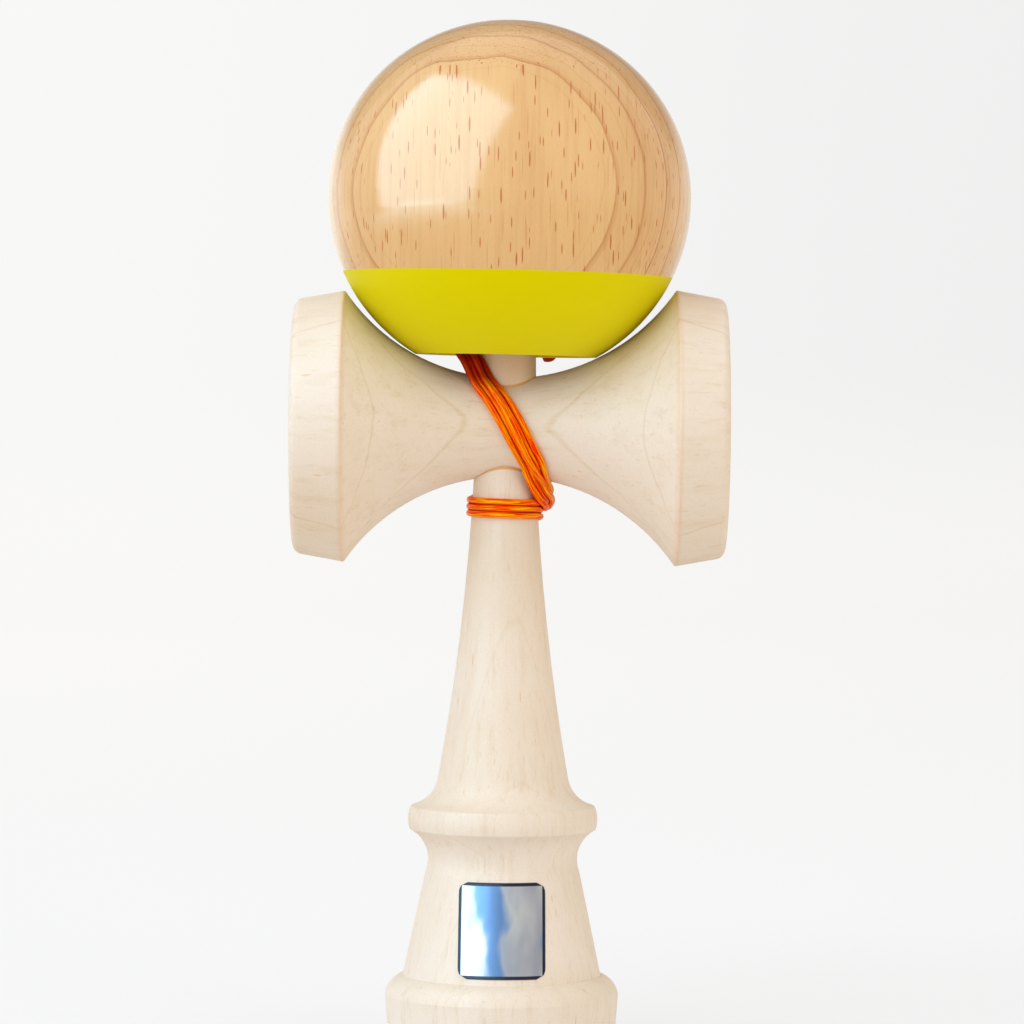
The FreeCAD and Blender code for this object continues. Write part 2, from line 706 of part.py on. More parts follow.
def loop_stations(slot, layer, next_slot, next_layer):
    """One oblique loop: up the back, behind the spike, over the crest, down the front, under at the right."""
    pitch = size("strand_pitch")
    quarter = CIRCLE / 4
    aside = slot * pitch
    inner = LOOP_LOWER_STRANDS - 1 - slot
    back = size("loop_back_shift")
    front = -size("loop_front_shift")
    upper = front - size("loop_upper_shift")
    lower = front + size("loop_lower_shift")
    right = size("loop_right_height")
    over = next_layer + 1
    between = (slot + next_slot) / 2 * pitch
    return [
        on_cross(back, size("loop_back_turn"), layer, size("loop_back_lean"), aside),
        on_cross(back, 3 * quarter - size("loop_behind_turn"), layer, -size("loop_behind_lean"), aside),
        behind_spike(0, inner, layer),
        behind_spike(quarter / 2, inner, layer),
        behind_spike(quarter, inner, layer),
        on_cross(upper, quarter / 2, layer, size("loop_upper_lean"), aside),
        on_cross(front, quarter, layer, size("loop_front_lean"), aside),
        on_cross(lower, size("loop_lower_turn"), layer, size("loop_lower_lean"), aside),
        on_shaft(size("loop_dive_height"), size("loop_dive_turn"), over, -size("loop_dive_climb"), aside),
        on_shaft(right, size("loop_right_turn"), over, -size("loop_right_climb"), aside),
        on_shaft(right, size("loop_under_turn"), over, size("loop_under_climb"), between),
        on_shaft(
            size("loop_rise_height"), size("loop_rise_turn"), over, size("loop_rise_climb"), next_slot * pitch
        ),
    ]


def winding_stations():
    """The way of the string from its anchor knot to the foot of its tail, as places and headings."""
    mouth, _ = on_cross(0, 3 * CIRCLE / 4, 0)
    anchor = Vector(0, size(f"-({RECESS_FLOOR} + knot_seat_gap)"), size("cross_height"))
    out = Vector(0, 1, 0)
    stations = [(anchor, out), (mouth + out * size("exit_straight"), out)]
    stations += band_stations()
    for place, next_place in zip(LOOP_SLOTS, LOOP_SLOTS[1:] + [TAIL_SLOT]):
        stations += loop_stations(*place, *next_place)
    foot, lift_off, *_ = [in_tail_plane(point) for point in tail_points()]
    upwards = (lift_off - foot).normalize()
    stations.append(on_cross(size("tail_shift"), size("tail_turn"), 1, -size("tail_lean")))
    stations.append((foot - upwards * 2 * size("cord_radius"), upwards))
    stations.append((foot, upwards))
    return stations


def make_winding():
    stations = winding_stations()
    arcs = [arc for pair in zip(stations, stations[1:]) for arc in biarc(*pair)]
    print(f"string_winding: least gap to itself {least_gap(arcs):.2f}")
    return tube("string_winding", arcs)


def make_tail():
    """The free stretch from the winding up to the ball."""
    foot, lift_off, *_ = [in_tail_plane(point) for point in tail_points()]
    return tube("string_tail", [arc_edge(foot, (lift_off - foot).normalize(), lift_off)])


def make_string_over_ball():
    """The stretch that lies on the ball's back, turns into the crown hole and ends on the stop knot."""
    foot, *places = [in_tail_plane(point) for point in tail_points()]
    heading = (places[0] - foot).normalize()
    arcs = []
    for start, end in zip(places, places[1:]):
        edge, radius = arc_edge(start, heading, end)
        arcs.append((edge, radius))
        heading = edge.tangentAt(edge.LastParameter)
    return tube("string_over_ball", arcs)


fill_sheet()
nodes = [
    make_handle(),
    make_cross_piece(),
    make_ball(),
    make_bead(),
    make_stop_knot(),
    make_anchor_knot(),
]
doc.recompute()
nodes += [
    make_winding(),
    make_tail(),
    make_string_over_ball(),
]
doc.recompute()
for item in doc.Objects:
    if "Invalid" in item.State or "Error" in item.State:
        raise RuntimeError(f"{item.Name} did not recompute: {item.State}")
os.makedirs("parts", exist_ok=True)
for node in nodes:
    if node.Shape.isNull() or not node.Shape.isValid():
        raise RuntimeError(f"{node.Label} has no valid shape")
    node.Shape.exportStep(f"parts/{node.Label}.step")
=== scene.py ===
"""Kendama on a white sweep: materials for the turned wood, the wound string, the foil label and the stage.

Metres, in the model's own frame: +Z up along the handle, +X towards the larger cup, -Y the front.
Laid out as an add-on: each operator makes one piece or one group of pieces.
"""

import math

import bmesh
import bpy
import numpy as np
from bpy.props import FloatProperty, FloatVectorProperty, IntProperty, PointerProperty
from mathutils import Matrix, Vector
from mathutils.geometry import interpolate_bezier


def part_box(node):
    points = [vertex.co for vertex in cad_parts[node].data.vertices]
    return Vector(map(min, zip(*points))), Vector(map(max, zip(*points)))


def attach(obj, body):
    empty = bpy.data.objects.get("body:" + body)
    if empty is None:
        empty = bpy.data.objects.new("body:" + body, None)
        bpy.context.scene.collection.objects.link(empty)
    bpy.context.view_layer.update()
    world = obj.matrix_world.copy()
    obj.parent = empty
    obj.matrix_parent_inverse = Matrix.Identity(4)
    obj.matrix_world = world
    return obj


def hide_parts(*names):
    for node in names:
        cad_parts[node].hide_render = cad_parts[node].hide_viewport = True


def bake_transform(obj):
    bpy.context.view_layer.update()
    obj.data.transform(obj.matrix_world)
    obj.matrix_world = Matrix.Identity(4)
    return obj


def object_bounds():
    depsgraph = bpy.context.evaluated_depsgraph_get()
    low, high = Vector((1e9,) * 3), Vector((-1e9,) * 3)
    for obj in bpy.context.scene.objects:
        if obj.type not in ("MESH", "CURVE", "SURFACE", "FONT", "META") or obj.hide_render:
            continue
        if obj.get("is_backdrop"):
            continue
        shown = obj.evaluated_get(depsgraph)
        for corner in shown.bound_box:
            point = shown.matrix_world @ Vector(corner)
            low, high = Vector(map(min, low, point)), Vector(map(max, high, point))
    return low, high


bl_info = {
    "name": "Kendama",
    "version": (1, 0, 0),
    "blender": (4, 5, 0),
    "location": "View3D > Sidebar > Kendama",
    "description": "Finishes a wooden cup-and-ball toy and its stage",
    "category": "Object",
}

MM = 0.001
FULL_TURN = math.tau

# Where one oblique loop of the string passes each side of the toy, in the order in which it goes round.
# On the cross piece: how far across in mm, turn and lean in degrees. Behind the spike: turn in degrees and
# lift in mm. On the handle: height in mm, turn and climb in degrees.
LOOP_BACK = ((4.2, 225.0, 10.0), (4.2, 265.0, -14.0))
LOOP_BEHIND_SPIKE = ((0.0, 1.5), (45.0, 3.0), (90.0, 3.8), (122.0, 3.3))
LOOP_FRONT = ((-4.6, 45.0, 32.0), (-0.5, 90.0, 29.4), (2.5, 128.0, 30.0))
LOOP_RIGHT = ((90.4, 232.0, -47.0), (88.6, 268.0, -18.0), (88.4, 302.0, 32.0), (91.6, 323.0, 70.0))
# Where each loop lies: how many strands from the first, and in which layer
LOOP_PLACES = ((0, 0), (1, 0), (2, 0), (3, 0), (1.5, 0.9))
TAIL_PLACE = (-1, 1)
TAIL_BACK = ((1.5, 232.0, -4.0), (1.6, 268.0, -2.0))
# The string's slack between the winding and the ball's back, in mm: first from the winding's end, then places
SLACK_START = (0.4, 1.0, 4.0)
SLACK = ((3.4, 13.6, 110.4), (4.6, 15.4, 114.2), (7.4, 16.4, 112.9), (8.6, 18.2, 114.6))
# The string inside the ball: how far behind its axis and over its centre, in mm
INSIDE_BALL = ((0.7, 22.0), (0.1, 17.0))

# The turns round the handle: the heading out of the hole, then the ways in and out, each as strands over the
# turn that it joins, turn in degrees, layer and climb in degrees
HOLE_HEADING = (-0.4, 0.5, -0.77)
BAND_IN = (0.9, 45.0, 0.2, -35.0)
BAND_OUT = ((0.0, 300.0, 0, 5.0), (1.0, 330.0, 1, 52.0))
# The string's drawn line: spacing of its points and rise of a layer in strands, and a span's length over that
# of its handles
POINT_SPACING = 0.45
LAYER_RISE = 0.9
SPAN_TO_HANDLE = 2.7
# How it settles: shares of the way to smooth and to the drawn line in a step, least and watched distance of
# two turns in strands, how hard they push, how many points stay in the hole, and how many are no other turn
SMOOTHING, HOLDING = 0.3, 0.08
NEAREST_TURNS, WATCHED_TURNS = 0.985, 4
PUSH_SHARE, PUSH_GAIN = 0.4, 1.6
HELD_POINTS, OWN_POINTS = 3, 5
# The wood under the string: how the spike widens going up, and the least drop, which keeps roots real
SPIKE_SLOPE = -0.004
LEAST_DROP = 2 * MM
# The string's tube: its sides, the points that are no other turn, and how many radii off another turn's line
# the painted shade in its grooves ends and off the ball the string is still pressed
TUBE_SIDES = 14
OWN_GROOVE_SHADE_POINTS = 6
GROOVE_SHADE_REACH = 1.7
PRESSED_REACH = 3.2

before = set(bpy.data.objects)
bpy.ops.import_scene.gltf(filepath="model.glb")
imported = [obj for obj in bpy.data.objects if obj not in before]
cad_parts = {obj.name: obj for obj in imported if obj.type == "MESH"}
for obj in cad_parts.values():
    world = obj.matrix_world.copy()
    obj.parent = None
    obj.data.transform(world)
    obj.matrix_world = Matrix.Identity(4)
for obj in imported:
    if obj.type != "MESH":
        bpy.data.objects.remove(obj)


# Settings


def metres(name, description, default):
    return FloatProperty(name=name, description=description, default=default, unit="LENGTH")


def degrees(name, description, default):
    turned = math.radians(default)
    return FloatProperty(name=name, description=description, default=turned, subtype="ANGLE", unit="ROTATION")


def plain_number(name, description, default):
    return FloatProperty(name=name, description=description, default=default)


def whole_number(name, description, default):
    return IntProperty(name=name, description=description, default=default)


def tint(name, description, default):
    return FloatVectorProperty(name=name, description=description, default=default, subtype="COLOR")


class KendamaWoodSizes(bpy.types.PropertyGroup):
    """The wooden pieces, as the string and the materials need them."""

    cross_height: metres("Cross height", "Height of the cross piece's axis", 101.7 * MM)
    waist_radius: metres("Waist radius", "The cross piece's least radius", 8.13 * MM)
    waist_shift: metres("Waist shift", "Where the waist lies along the cross piece", 0.3 * MM)
    small_flare: metres("Small flare", "Radius of the curve towards the small cup", 32.5 * MM)
    big_flare: metres("Big flare", "Radius of the curve towards the large cup", 33.7 * MM)
    shaft_radius: metres("Shaft radius", "The handle's radius just under the cross piece", 5.15 * MM)
    shaft_slope: plain_number("Shaft slope", "How fast the handle widens downwards there", 0.03)
    spike_radius: metres("Spike radius", "The spike's radius just over the cross piece", 5.0 * MM)
    ball_radius: metres("Ball radius", "The ball's radius at its widest", 30.0 * MM)
    ball_centre: FloatVectorProperty(
        name="Ball centre", description="The ball's centre at rest", default=(0.388 * MM, 0.0, 139.524 * MM),
        subtype="TRANSLATION", unit="LENGTH",
    )
    ball_lean: degrees("Ball lean", "How far the resting ball leans towards the large cup", 0.853)
    side_shift: metres("Side shift", "How much smaller the curve of the ball's upper side is", 1.0 * MM)
    crown_radius: metres("Crown radius", "Radius of the ball's flatter crown", 30.6 * MM)
    paint_height: metres("Paint height", "Where the paint ends, over the ball's centre", -12.65 * MM)
    crown_hole_radius: metres("Crown hole radius", "Radius of the string's hole in the crown", 1.5 * MM)
    crown_hole_round: metres("Crown hole rounding", "Radius of the rounding at the hole's edge", 3.0 * MM)
    crown_sink: metres("Crown sink", "How much lower the ball's crown is than a full ball", 0.65 * MM)


class KendamaStringSizes(bpy.types.PropertyGroup):
    """The string: its thickness, and where its turns lie."""

    strand_radius: metres("Strand radius", "Half the string's thickness", 0.54 * MM)
    band_top: metres("Band top", "Height of the highest turn round the handle", 89.75 * MM)
    band_turns: whole_number("Band turns", "Turns round the handle", 3)
    band_dive: degrees("Band dive", "How steeply those turns go down", 2.0)
    exit_depth: metres("Exit depth", "How deep in its hole the string starts", 2.6 * MM)
    exit_straight: metres("Exit straight", "How far it stands out of its hole before it bends", 0.5 * MM)
    touch_height: degrees("Touch height", "Where the string comes onto the ball, over its equator", -38.0)
    touch_turn: degrees("Touch turn", "How far to the right of the ball's back that is", 16.0)
    crown_turn: degrees("Crown turn", "How far to the right of the back it reaches the crown", 2.0)
    clearance: metres("Clearance", "Between the string and the ball", 0.02 * MM)
    pressed_share: plain_number("Pressed share", "How thick it stays where it is tight on the ball", 0.5)
    settle_steps: whole_number("Settling steps", "In which its turns settle on wood and each other", 220)


class KendamaLabelSizes(bpy.types.PropertyGroup):
    """The plain foil label on the base's cone."""

    width: metres("Width", "Across the front", 14.8 * MM)
    bottom: metres("Bottom", "Height of its lower edge", 12.2 * MM)
    top: metres("Top", "Height of its upper edge", 27.6 * MM)
    corner: metres("Corner", "Radius of its corners", 1.6 * MM)
    border: metres("Border", "Width of its dark edge", 0.55 * MM)
    thickness: metres("Thickness", "Of the foil", 0.06 * MM)
    lift: metres("Lift", "How far its outside is from the wood", 0.09 * MM)


class KendamaColours(bpy.types.PropertyGroup):
    """Colours of the pieces."""

    bare_wood: tint("Bare wood", "Pale sanded maple", (0.83, 0.74, 0.635))
    bare_wood_line: tint("Bare wood line", "Growth lines in the pale maple", (0.66, 0.50, 0.30))
    # Also the painted shade on the spike under the ball
    bare_wood_dash_and_shade: tint("Bare wood dash", "Dashes in the maple, and its cut edges", (0.74, 0.36, 0.10))
    ball_wood: tint("Ball wood", "Lacquered wood of the ball", (0.80, 0.52, 0.23))
    ball_wood_line: tint("Ball wood line", "Darker growth lines in the ball", (0.50, 0.205, 0.055))
    vessel: tint("Vessels", "Short reddish pores in the ball's wood", (0.50, 0.12, 0.015))
    paint: tint("Paint", "Yellow paint on the ball's lower part", (0.735, 0.66, 0.0))
    paint_deep: tint("Deep paint", "Where the yellow paint lies thicker", (0.68, 0.58, 0.0))
    foil: tint("Foil", "The label's silver", (0.86, 0.84, 0.83))
    foil_shade: tint("Foil shade", "Greyer places in the silver", (0.62, 0.62, 0.68))
    foil_blue: tint("Foil blue", "The bluish gleam down the label", (0.22, 0.38, 0.66))
    foil_edge: tint("Foil edge", "The label's dark edge", (0.01, 0.015, 0.05))
    string_light: tint("String light", "Fibres that catch the light", (1.0, 0.52, 0.0))
    string_dark: tint("String dark", "Fibres deep between others", (0.95, 0.010, 0.0))
    # Painted shade on the string, where turns touch and under the ball
    string_painted_shade: tint("String groove", "Where two turns of the string touch", (0.34, 0.001, 0.0))
    sky: tint("Sky", "What is seen and mirrored over the backdrop", (0.80, 0.79, 0.78))
    surroundings: tint("Surroundings", "Warm light from all round", (1.0, 0.87, 0.72))
    sweep: tint("Sweep", "Floor and backdrop, at the left", (0.983, 0.993, 1.0))
    sweep_right: tint("Sweep at the right", "Where less light reaches it", (0.898, 0.908, 0.918))
    sweep_far: tint("Sweep far back", "The floor at the back", (0.995, 1.0, 1.0))
    # Painted shadow of the toy on the floor at its right
    sweep_painted_shadow: tint("Sweep shade", "The floor at the right of the toy", (0.865, 0.872, 0.878))
    sweep_floor: tint("Sweep floor", "The floor, which more light reaches", (0.90, 0.905, 0.91))
    sweep_high: tint("Sweep high up", "The backdrop high up, mirrored", (0.20, 0.19, 0.18))
    sweep_mirrored: tint("Sweep mirrored", "The backdrop low down, mirrored", (0.88, 0.86, 0.80))
    sweep_mirrored_left: tint("Sweep mirrored, left", "The same at the left", (1.3, 1.4, 1.4))
    sweep_near: tint("Sweep near", "The floor in front, mirrored", (0.46, 0.40, 0.34))
    sweep_shine: tint("Sweep shine", "The floor under the left lamp, mirrored", (2.5, 4.2, 5.1))
    sweep_own: tint("Sweep bare", "What it gives back of the lamps' light", (0.20, 0.205, 0.21))
    sweep_glow: tint("Sweep glow", "The light that it gives to the toy", (0.80, 0.67, 0.53))


class KendamaStage(bpy.types.PropertyGroup):
    """The camera's place, as read from the photograph."""

    lens: plain_number("Lens", "Focal length in millimetres", 154.0)
    distance: metres("Distance", "From the handle's axis", 0.724)
    eye_height: metres("Eye height", "Over the floor", 0.1031)
    shift: metres("Shift", "How far the camera stands to the right", 1.19 * MM)
    pitch: degrees("Pitch", "How far it looks down", 1.217)
    roll: degrees("Roll", "How far it is turned about its own axis", 0.4)
    sweep_width: metres("Sweep width", "Of floor and backdrop", 4.8)
    sweep_front: metres("Sweep front", "How far the floor reaches to the front", 1.6)
    sweep_back: metres("Sweep back", "How far back it starts to rise", 1.5)
    sweep_bend: metres("Sweep bend", "Radius of its rise", 0.7)
    sweep_top: metres("Sweep top", "Height of the backdrop", 2.6)
    sweep_strength: plain_number("Sweep strength", "How bright the sweep shows its colours", 0.82)
    world_strength: plain_number("Surroundings", "How bright the surroundings are", 0.42)


# Shader expressions


class Value:
    """A number in a material's node tree, so that shader maths reads as an expression."""

    def __init__(self, shade, socket):
        self.shade = shade
        self.socket = socket

    def maths(self, operation, *others):
        node = self.shade.node("ShaderNodeMath", {"operation": operation}, self, *others)
        return Value(self.shade, node.outputs[0])

    def __add__(self, other):
        return self.maths("ADD", other)

    __radd__ = __add__

    def __mul__(self, other):
        return self.maths("MULTIPLY", other)

    def __neg__(self):
        return self.maths("MULTIPLY", -1.0)

    def __sub__(self, other):
        return self.maths("SUBTRACT", other)

    def __rsub__(self, other):
        return -self + other

    def __truediv__(self, other):
        return self.maths("DIVIDE", other)

    def root(self):
        return self.maths("SQRT")

    def size(self):
        return self.maths("ABSOLUTE")

    def sine(self):
        return self.maths("SINE")

    def sign(self):
        return self.maths("SIGN")

    def fraction(self):
        return self.maths("FRACT")

    def at_least(self, other):
        return self.maths("MAXIMUM", other)

    def ramp(self, low, high):
        """0 below low and 1 above high, or the other way round, and smooth between them."""
        node = self.shade.node("ShaderNodeMapRange", {"interpolation_type": "SMOOTHSTEP"}, self, low, high)
        return Value(self.shade, node.outputs[0])


def distance(*parts):
    """How far it is to where all these parts are 0."""
    squares = [part * part for part in parts]
    return sum(squares[1:], squares[0]).root()


class Shade:
    """One material, or the world, and the nodes in it."""

    def __init__(self, owner):
        self.owner = owner
        owner.use_nodes = True
        self.tree = owner.node_tree
        self.tree.nodes.clear()

    def node(self, kind, settings, *inputs, **named):
        """A node of that kind, its settings first and then its sockets, in order or by name."""
        node = self.tree.nodes.new(kind)
        for name, setting in settings.items():
            setattr(node, name, setting)
        for key, given in [*enumerate(inputs), *named.items()]:
            socket = node.inputs[key]
            if isinstance(given, Value):
                self.tree.links.new(given.socket, socket)
            elif isinstance(given, bpy.types.NodeSocket):
                self.tree.links.new(given, socket)
            elif given is not None:
                socket.default_value = given
        return node

    def coordinates(self):
        """The place on the object, in millimetres, as three numbers."""
        place = self.node("ShaderNodeTexCoord", {}).outputs["Object"]
        parts = self.node("ShaderNodeSeparateXYZ", {}, place).outputs
        return [Value(self, part) / MM for part in parts]

    def uv(self):
        place = self.node("ShaderNodeUVMap", {"uv_map": "UVMap"}).outputs[0]
        parts = self.node("ShaderNodeSeparateXYZ", {}, place).outputs
        return Value(self, parts[0]), Value(self, parts[1])

    def vector(self, *parts):
        return self.node("ShaderNodeCombineXYZ", {}, *parts).outputs[0]

    def noise(self, place, scale, detail=2.0, rough=0.5):
        node = self.node("ShaderNodeTexNoise", {}, Vector=place, Scale=scale, Detail=detail, Roughness=rough)
        return Value(self, node.outputs[0])

    def cells(self, place, scale):
        """The distance to the nearest of scattered points."""
        node = self.node("ShaderNodeTexVoronoi", {}, Vector=place, Scale=scale)
        return Value(self, node.outputs["Distance"])

    def mix(self, factor, *ends):
        """A colour between two, each a socket or red, green and blue."""
        ends = [end if isinstance(end, bpy.types.NodeSocket) else (*end, 1.0) for end in ends]
        for_numbers = [None] * 5
        return self.node("ShaderNodeMix", {"data_type": "RGBA"}, factor, *for_numbers, *ends).outputs[2]

    def bump(self, height, distance, strength):
        return self.node("ShaderNodeBump", {}, Strength=strength, Distance=distance, Height=height).outputs[0]

    def light_path(self):
        """Whether the camera, and whether a mirroring surface, sees the place."""
        path = self.node("ShaderNodeLightPath", {}).outputs
        return Value(self, path["Is Camera Ray"]), Value(self, path["Is Glossy Ray"])

    def shader(self, **inputs):
        """A surface, with uniform values set on its own sockets."""
        named = {name.replace("_", " "): given for name, given in inputs.items()}
        return self.node("ShaderNodeBsdfPrincipled", {}, **named).outputs[0]

    def blend(self, factor, first, second):
        return self.node("ShaderNodeMixShader", {}, factor, first, second).outputs[0]

    def done(self, shader):
        self.node("ShaderNodeOutputMaterial", {}, shader)
        return self.owner

    def surface(self, **inputs):
        return self.done(self.shader(**inputs))


# Materials


def bare_wood(colours, rings, ring_share, along, fine, browned_and_shaded):
    """Pale sanded maple: growth lines at whole numbers of rings, streaks along the grain and a fine tooth."""
    shade = rings.shade
    line = (rings.fraction() - 0.5).size().ramp(0.468, 0.5) * ring_share
    drift = shade.noise(fine, 0.045, 3.0).ramp(0.35, 0.7) * 0.22
    streaks = shade.noise(along, 0.55, 4.0, 0.6).ramp(0.45, 0.8) * 0.30
    flecks = shade.noise(along, 2.2, 2.0, 0.5).ramp(0.60, 0.76) * 0.26
    speckle = shade.noise(fine, 4.0, 3.0, 0.7).ramp(0.35, 0.7) * 0.19
    amount = line + drift + streaks + flecks + speckle
    colour = shade.mix(amount, colours.bare_wood, colours.bare_wood_line)
    dashes = shade.cells(along, 0.42).ramp(0.075, 0.04) * 0.5
    colour = shade.mix(dashes, colour, colours.bare_wood_dash_and_shade)
    # Browned places: dark joints and cup ridges, and on the handle painted shade on the spike under the ball
    colour = shade.mix(browned_and_shaded, colour, colours.bare_wood_dash_and_shade)
    tooth = shade.noise(fine, 5.0, 4.0, 0.65) + shade.noise(along, 3.0, 2.0) * 0.6
    roughness = 0.52 + shade.noise(fine, 1.3, 2.0) * 0.16
    return shade.surface(
        Base_Color=colour,
        Roughness=roughness,
        Specular_IOR_Level=0.3,
        Subsurface_Weight=0.08,
        Subsurface_Radius=(0.6, 0.35, 0.2),
        Subsurface_Scale=0.6 * MM,
        Normal=shade.bump(tooth, 0.025 * MM, 0.6),
    )


def handle_material(colours, sizes):
    """The handle's wood, browner where the cross piece ends on it and with painted shade on the spike under
    the ball, its pith far behind.
    """
    shade = Shade(bpy.data.materials.new("maple_handle"))
    x, y, z = shade.coordinates()
    pith_x, pith_y, ring_width, joint_out = -9.0, 46.0, 4.6, 0.22
    wander = shade.noise(shade.vector(x * 0.12, y * 0.12, z * 0.02), 1.0, 2.0) * 3.2
    rings = (distance(x - pith_x, y - pith_y) + wander) / ring_width
    along = shade.vector(x, y, z * 0.045)
    up = z - sizes.cross_height / MM
    joint = (distance(y, up) - sizes.waist_radius / MM - joint_out).size().ramp(0.34, 0.08) * 0.95
    # Painted shade: the spike browner where it stands under the ball
    spike = up.ramp(5.0, 10.0) * 0.33
    return bare_wood(colours, rings, 0.13, along, shade.vector(x, y, z), joint.at_least(spike))


def cross_material(colours, sizes):
    """The cross piece's wood, browner on the ridges of its cups."""
    shade = Shade(bpy.data.materials.new("maple_cross"))
    x, y, z = shade.coordinates()
    pith_y, pith_up, first_ring, ring_width = 62.0, -1.0, 71.0, 7.5
    left_ridge, right_ridge = -26.6, 28.1
    wander = shade.noise(shade.vector(x * 0.04, y * 0.15, z * 0.15), 1.0, 2.0) * 1.6 - 0.8
    up = z - sizes.cross_height / MM
    rings = (distance(y - pith_y, up - pith_up) + wander - first_ring) / ring_width
    along = shade.vector(x * 0.045, y, z)
    left = (x - left_ridge).size().ramp(0.9, 0.15)
    right = (x - right_ridge).size().ramp(0.9, 0.15)
    return bare_wood(colours, rings, 0.32, along, shade.vector(x, y, z), (left + right) * 0.2)


def ball_wood(shade, colours, x, y, up):
    """The ball's lacquered wood: growth lines round a pith far behind, and pores along its front and back."""
    pith_x, pith_y, pith_up, first_ring, ring_width = 12.3, 60.0, -2.8, 85.25, 3.88
    wander = shade.noise(shade.vector(x * 0.10, y * 0.10, up * 0.05), 1.0, 1.5) * 2.6
    out = distance(x - pith_x, y - pith_y, up - pith_up) + wander - 1.3
    rings = (out - first_ring) / ring_width
    outer = out.ramp(87.5, 85.5)
    late = rings.fraction()
    line = (late.ramp(0.86, 0.97) * late.ramp(1.0, 0.985) * 0.44 + late.ramp(0.35, 0.97) * 0.13) * outer
    second = ((rings * 2.37 + 0.3).fraction() - 0.5).size().ramp(0.42, 0.5) * outer * 0.20
    third = ((rings * 5.9).fraction() - 0.5).size().ramp(0.3, 0.5) * out.ramp(82.0, 77.0) * 0.27
    follow = up.size().ramp(27.0, 20.0) * x.size().ramp(27.0, 19.0) * y.size().ramp(4.0, 12.0)
    depth = distance(y, up * follow) * y.sign()
    grain = shade.noise(shade.vector(x, depth, up * 0.04), 1.1, 4.0, 0.6).ramp(0.4, 0.8) * 0.24
    broad = shade.noise(shade.vector(x, y, up * 0.3), 0.06, 2.0).ramp(0.35, 0.75) * 0.22
    wood = shade.mix(line + second + third + grain + broad, colours.ball_wood, colours.ball_wood_line)
    shift = shade.noise(shade.vector(x, depth, up * 0.10), 0.4, 1.0) * 1.5
    pores = shade.cells(shade.vector(x + shift, depth, up * 0.10), 1.15).ramp(0.18, 0.125)
    patches = shade.noise(shade.vector(x, y, up * 0.4), 0.35, 2.0).ramp(0.14, 0.34)
    wood = shade.mix(pores * patches * 0.95, wood, colours.vessel)
    small = shade.cells(shade.vector(x + 40.0, depth + shift * 0.5, up * 0.12), 1.4).ramp(0.18, 0.115)
    wood = shade.mix(small * 0.8, wood, colours.vessel)
    hair = shade.cells(shade.vector(x, depth, up * 0.03), 1.9).ramp(0.21, 0.06) * 0.42
    wood = shade.mix(hair, wood, colours.vessel)
    tooth = shade.noise(shade.vector(x, y, up * 0.35), 6.0, 3.0, 0.6).ramp(0.3, 0.7) * 0.10
    return shade.mix(tooth, wood, colours.ball_wood_line)


def ball_material(colours, sizes):
    """Lacquered wood over a clean line, satin paint under it, bare wood in the bore."""
    shade = Shade(bpy.data.materials.new("ball_wood_and_paint"))
    x, y, z = shade.coordinates()
    x = x - sizes.ball_centre[0] / MM
    z = z - sizes.ball_centre[2] / MM
    up = x * math.sin(sizes.ball_lean) + z * math.cos(sizes.ball_lean)
    wood = ball_wood(shade, colours, x, y, up)
    bore_out, bore_up, soft = 11.3, 28.6, 0.3
    edge = up + shade.noise(shade.vector(x, y, up), 1.6, 2.0) * 0.10
    painted = edge.ramp(sizes.paint_height / MM + 0.12, sizes.paint_height / MM)
    mottle = shade.noise(shade.vector(x, y, up), 0.35, 3.0) * 0.3
    paint = shade.mix(mottle, colours.paint, colours.paint_deep)
    bore = distance(x, y).ramp(bore_out + soft, bore_out)
    bare = bore * distance(x, y, up).ramp(bore_up + soft, bore_up)
    grained = shade.bump(shade.noise(shade.vector(x, y, up * 0.2), 1.2, 3.0), 0.01 * MM, 0.35)
    lacquered = shade.shader(
        Base_Color=shade.mix(bare, wood, colours.bare_wood),
        Roughness=0.22 + bare * 0.3,
        Coat_Weight=0.8 - bare * 0.8,
        Coat_Roughness=0.11,
        Specular_IOR_Level=0.15,
        Normal=grained,
    )
    satin = shade.shader(
        Base_Color=paint,
        Roughness=0.5 + mottle * 0.1,
        Specular_IOR_Level=0.25,
        Specular_Tint=(1.0, 0.9, 0.0, 1.0),
        Normal=shade.bump(shade.noise(shade.vector(x, y, up), 3.0, 3.0), 0.01 * MM, 0.3),
    )
    return shade.done(shade.blend(painted * (1.0 - bare), lacquered, satin))


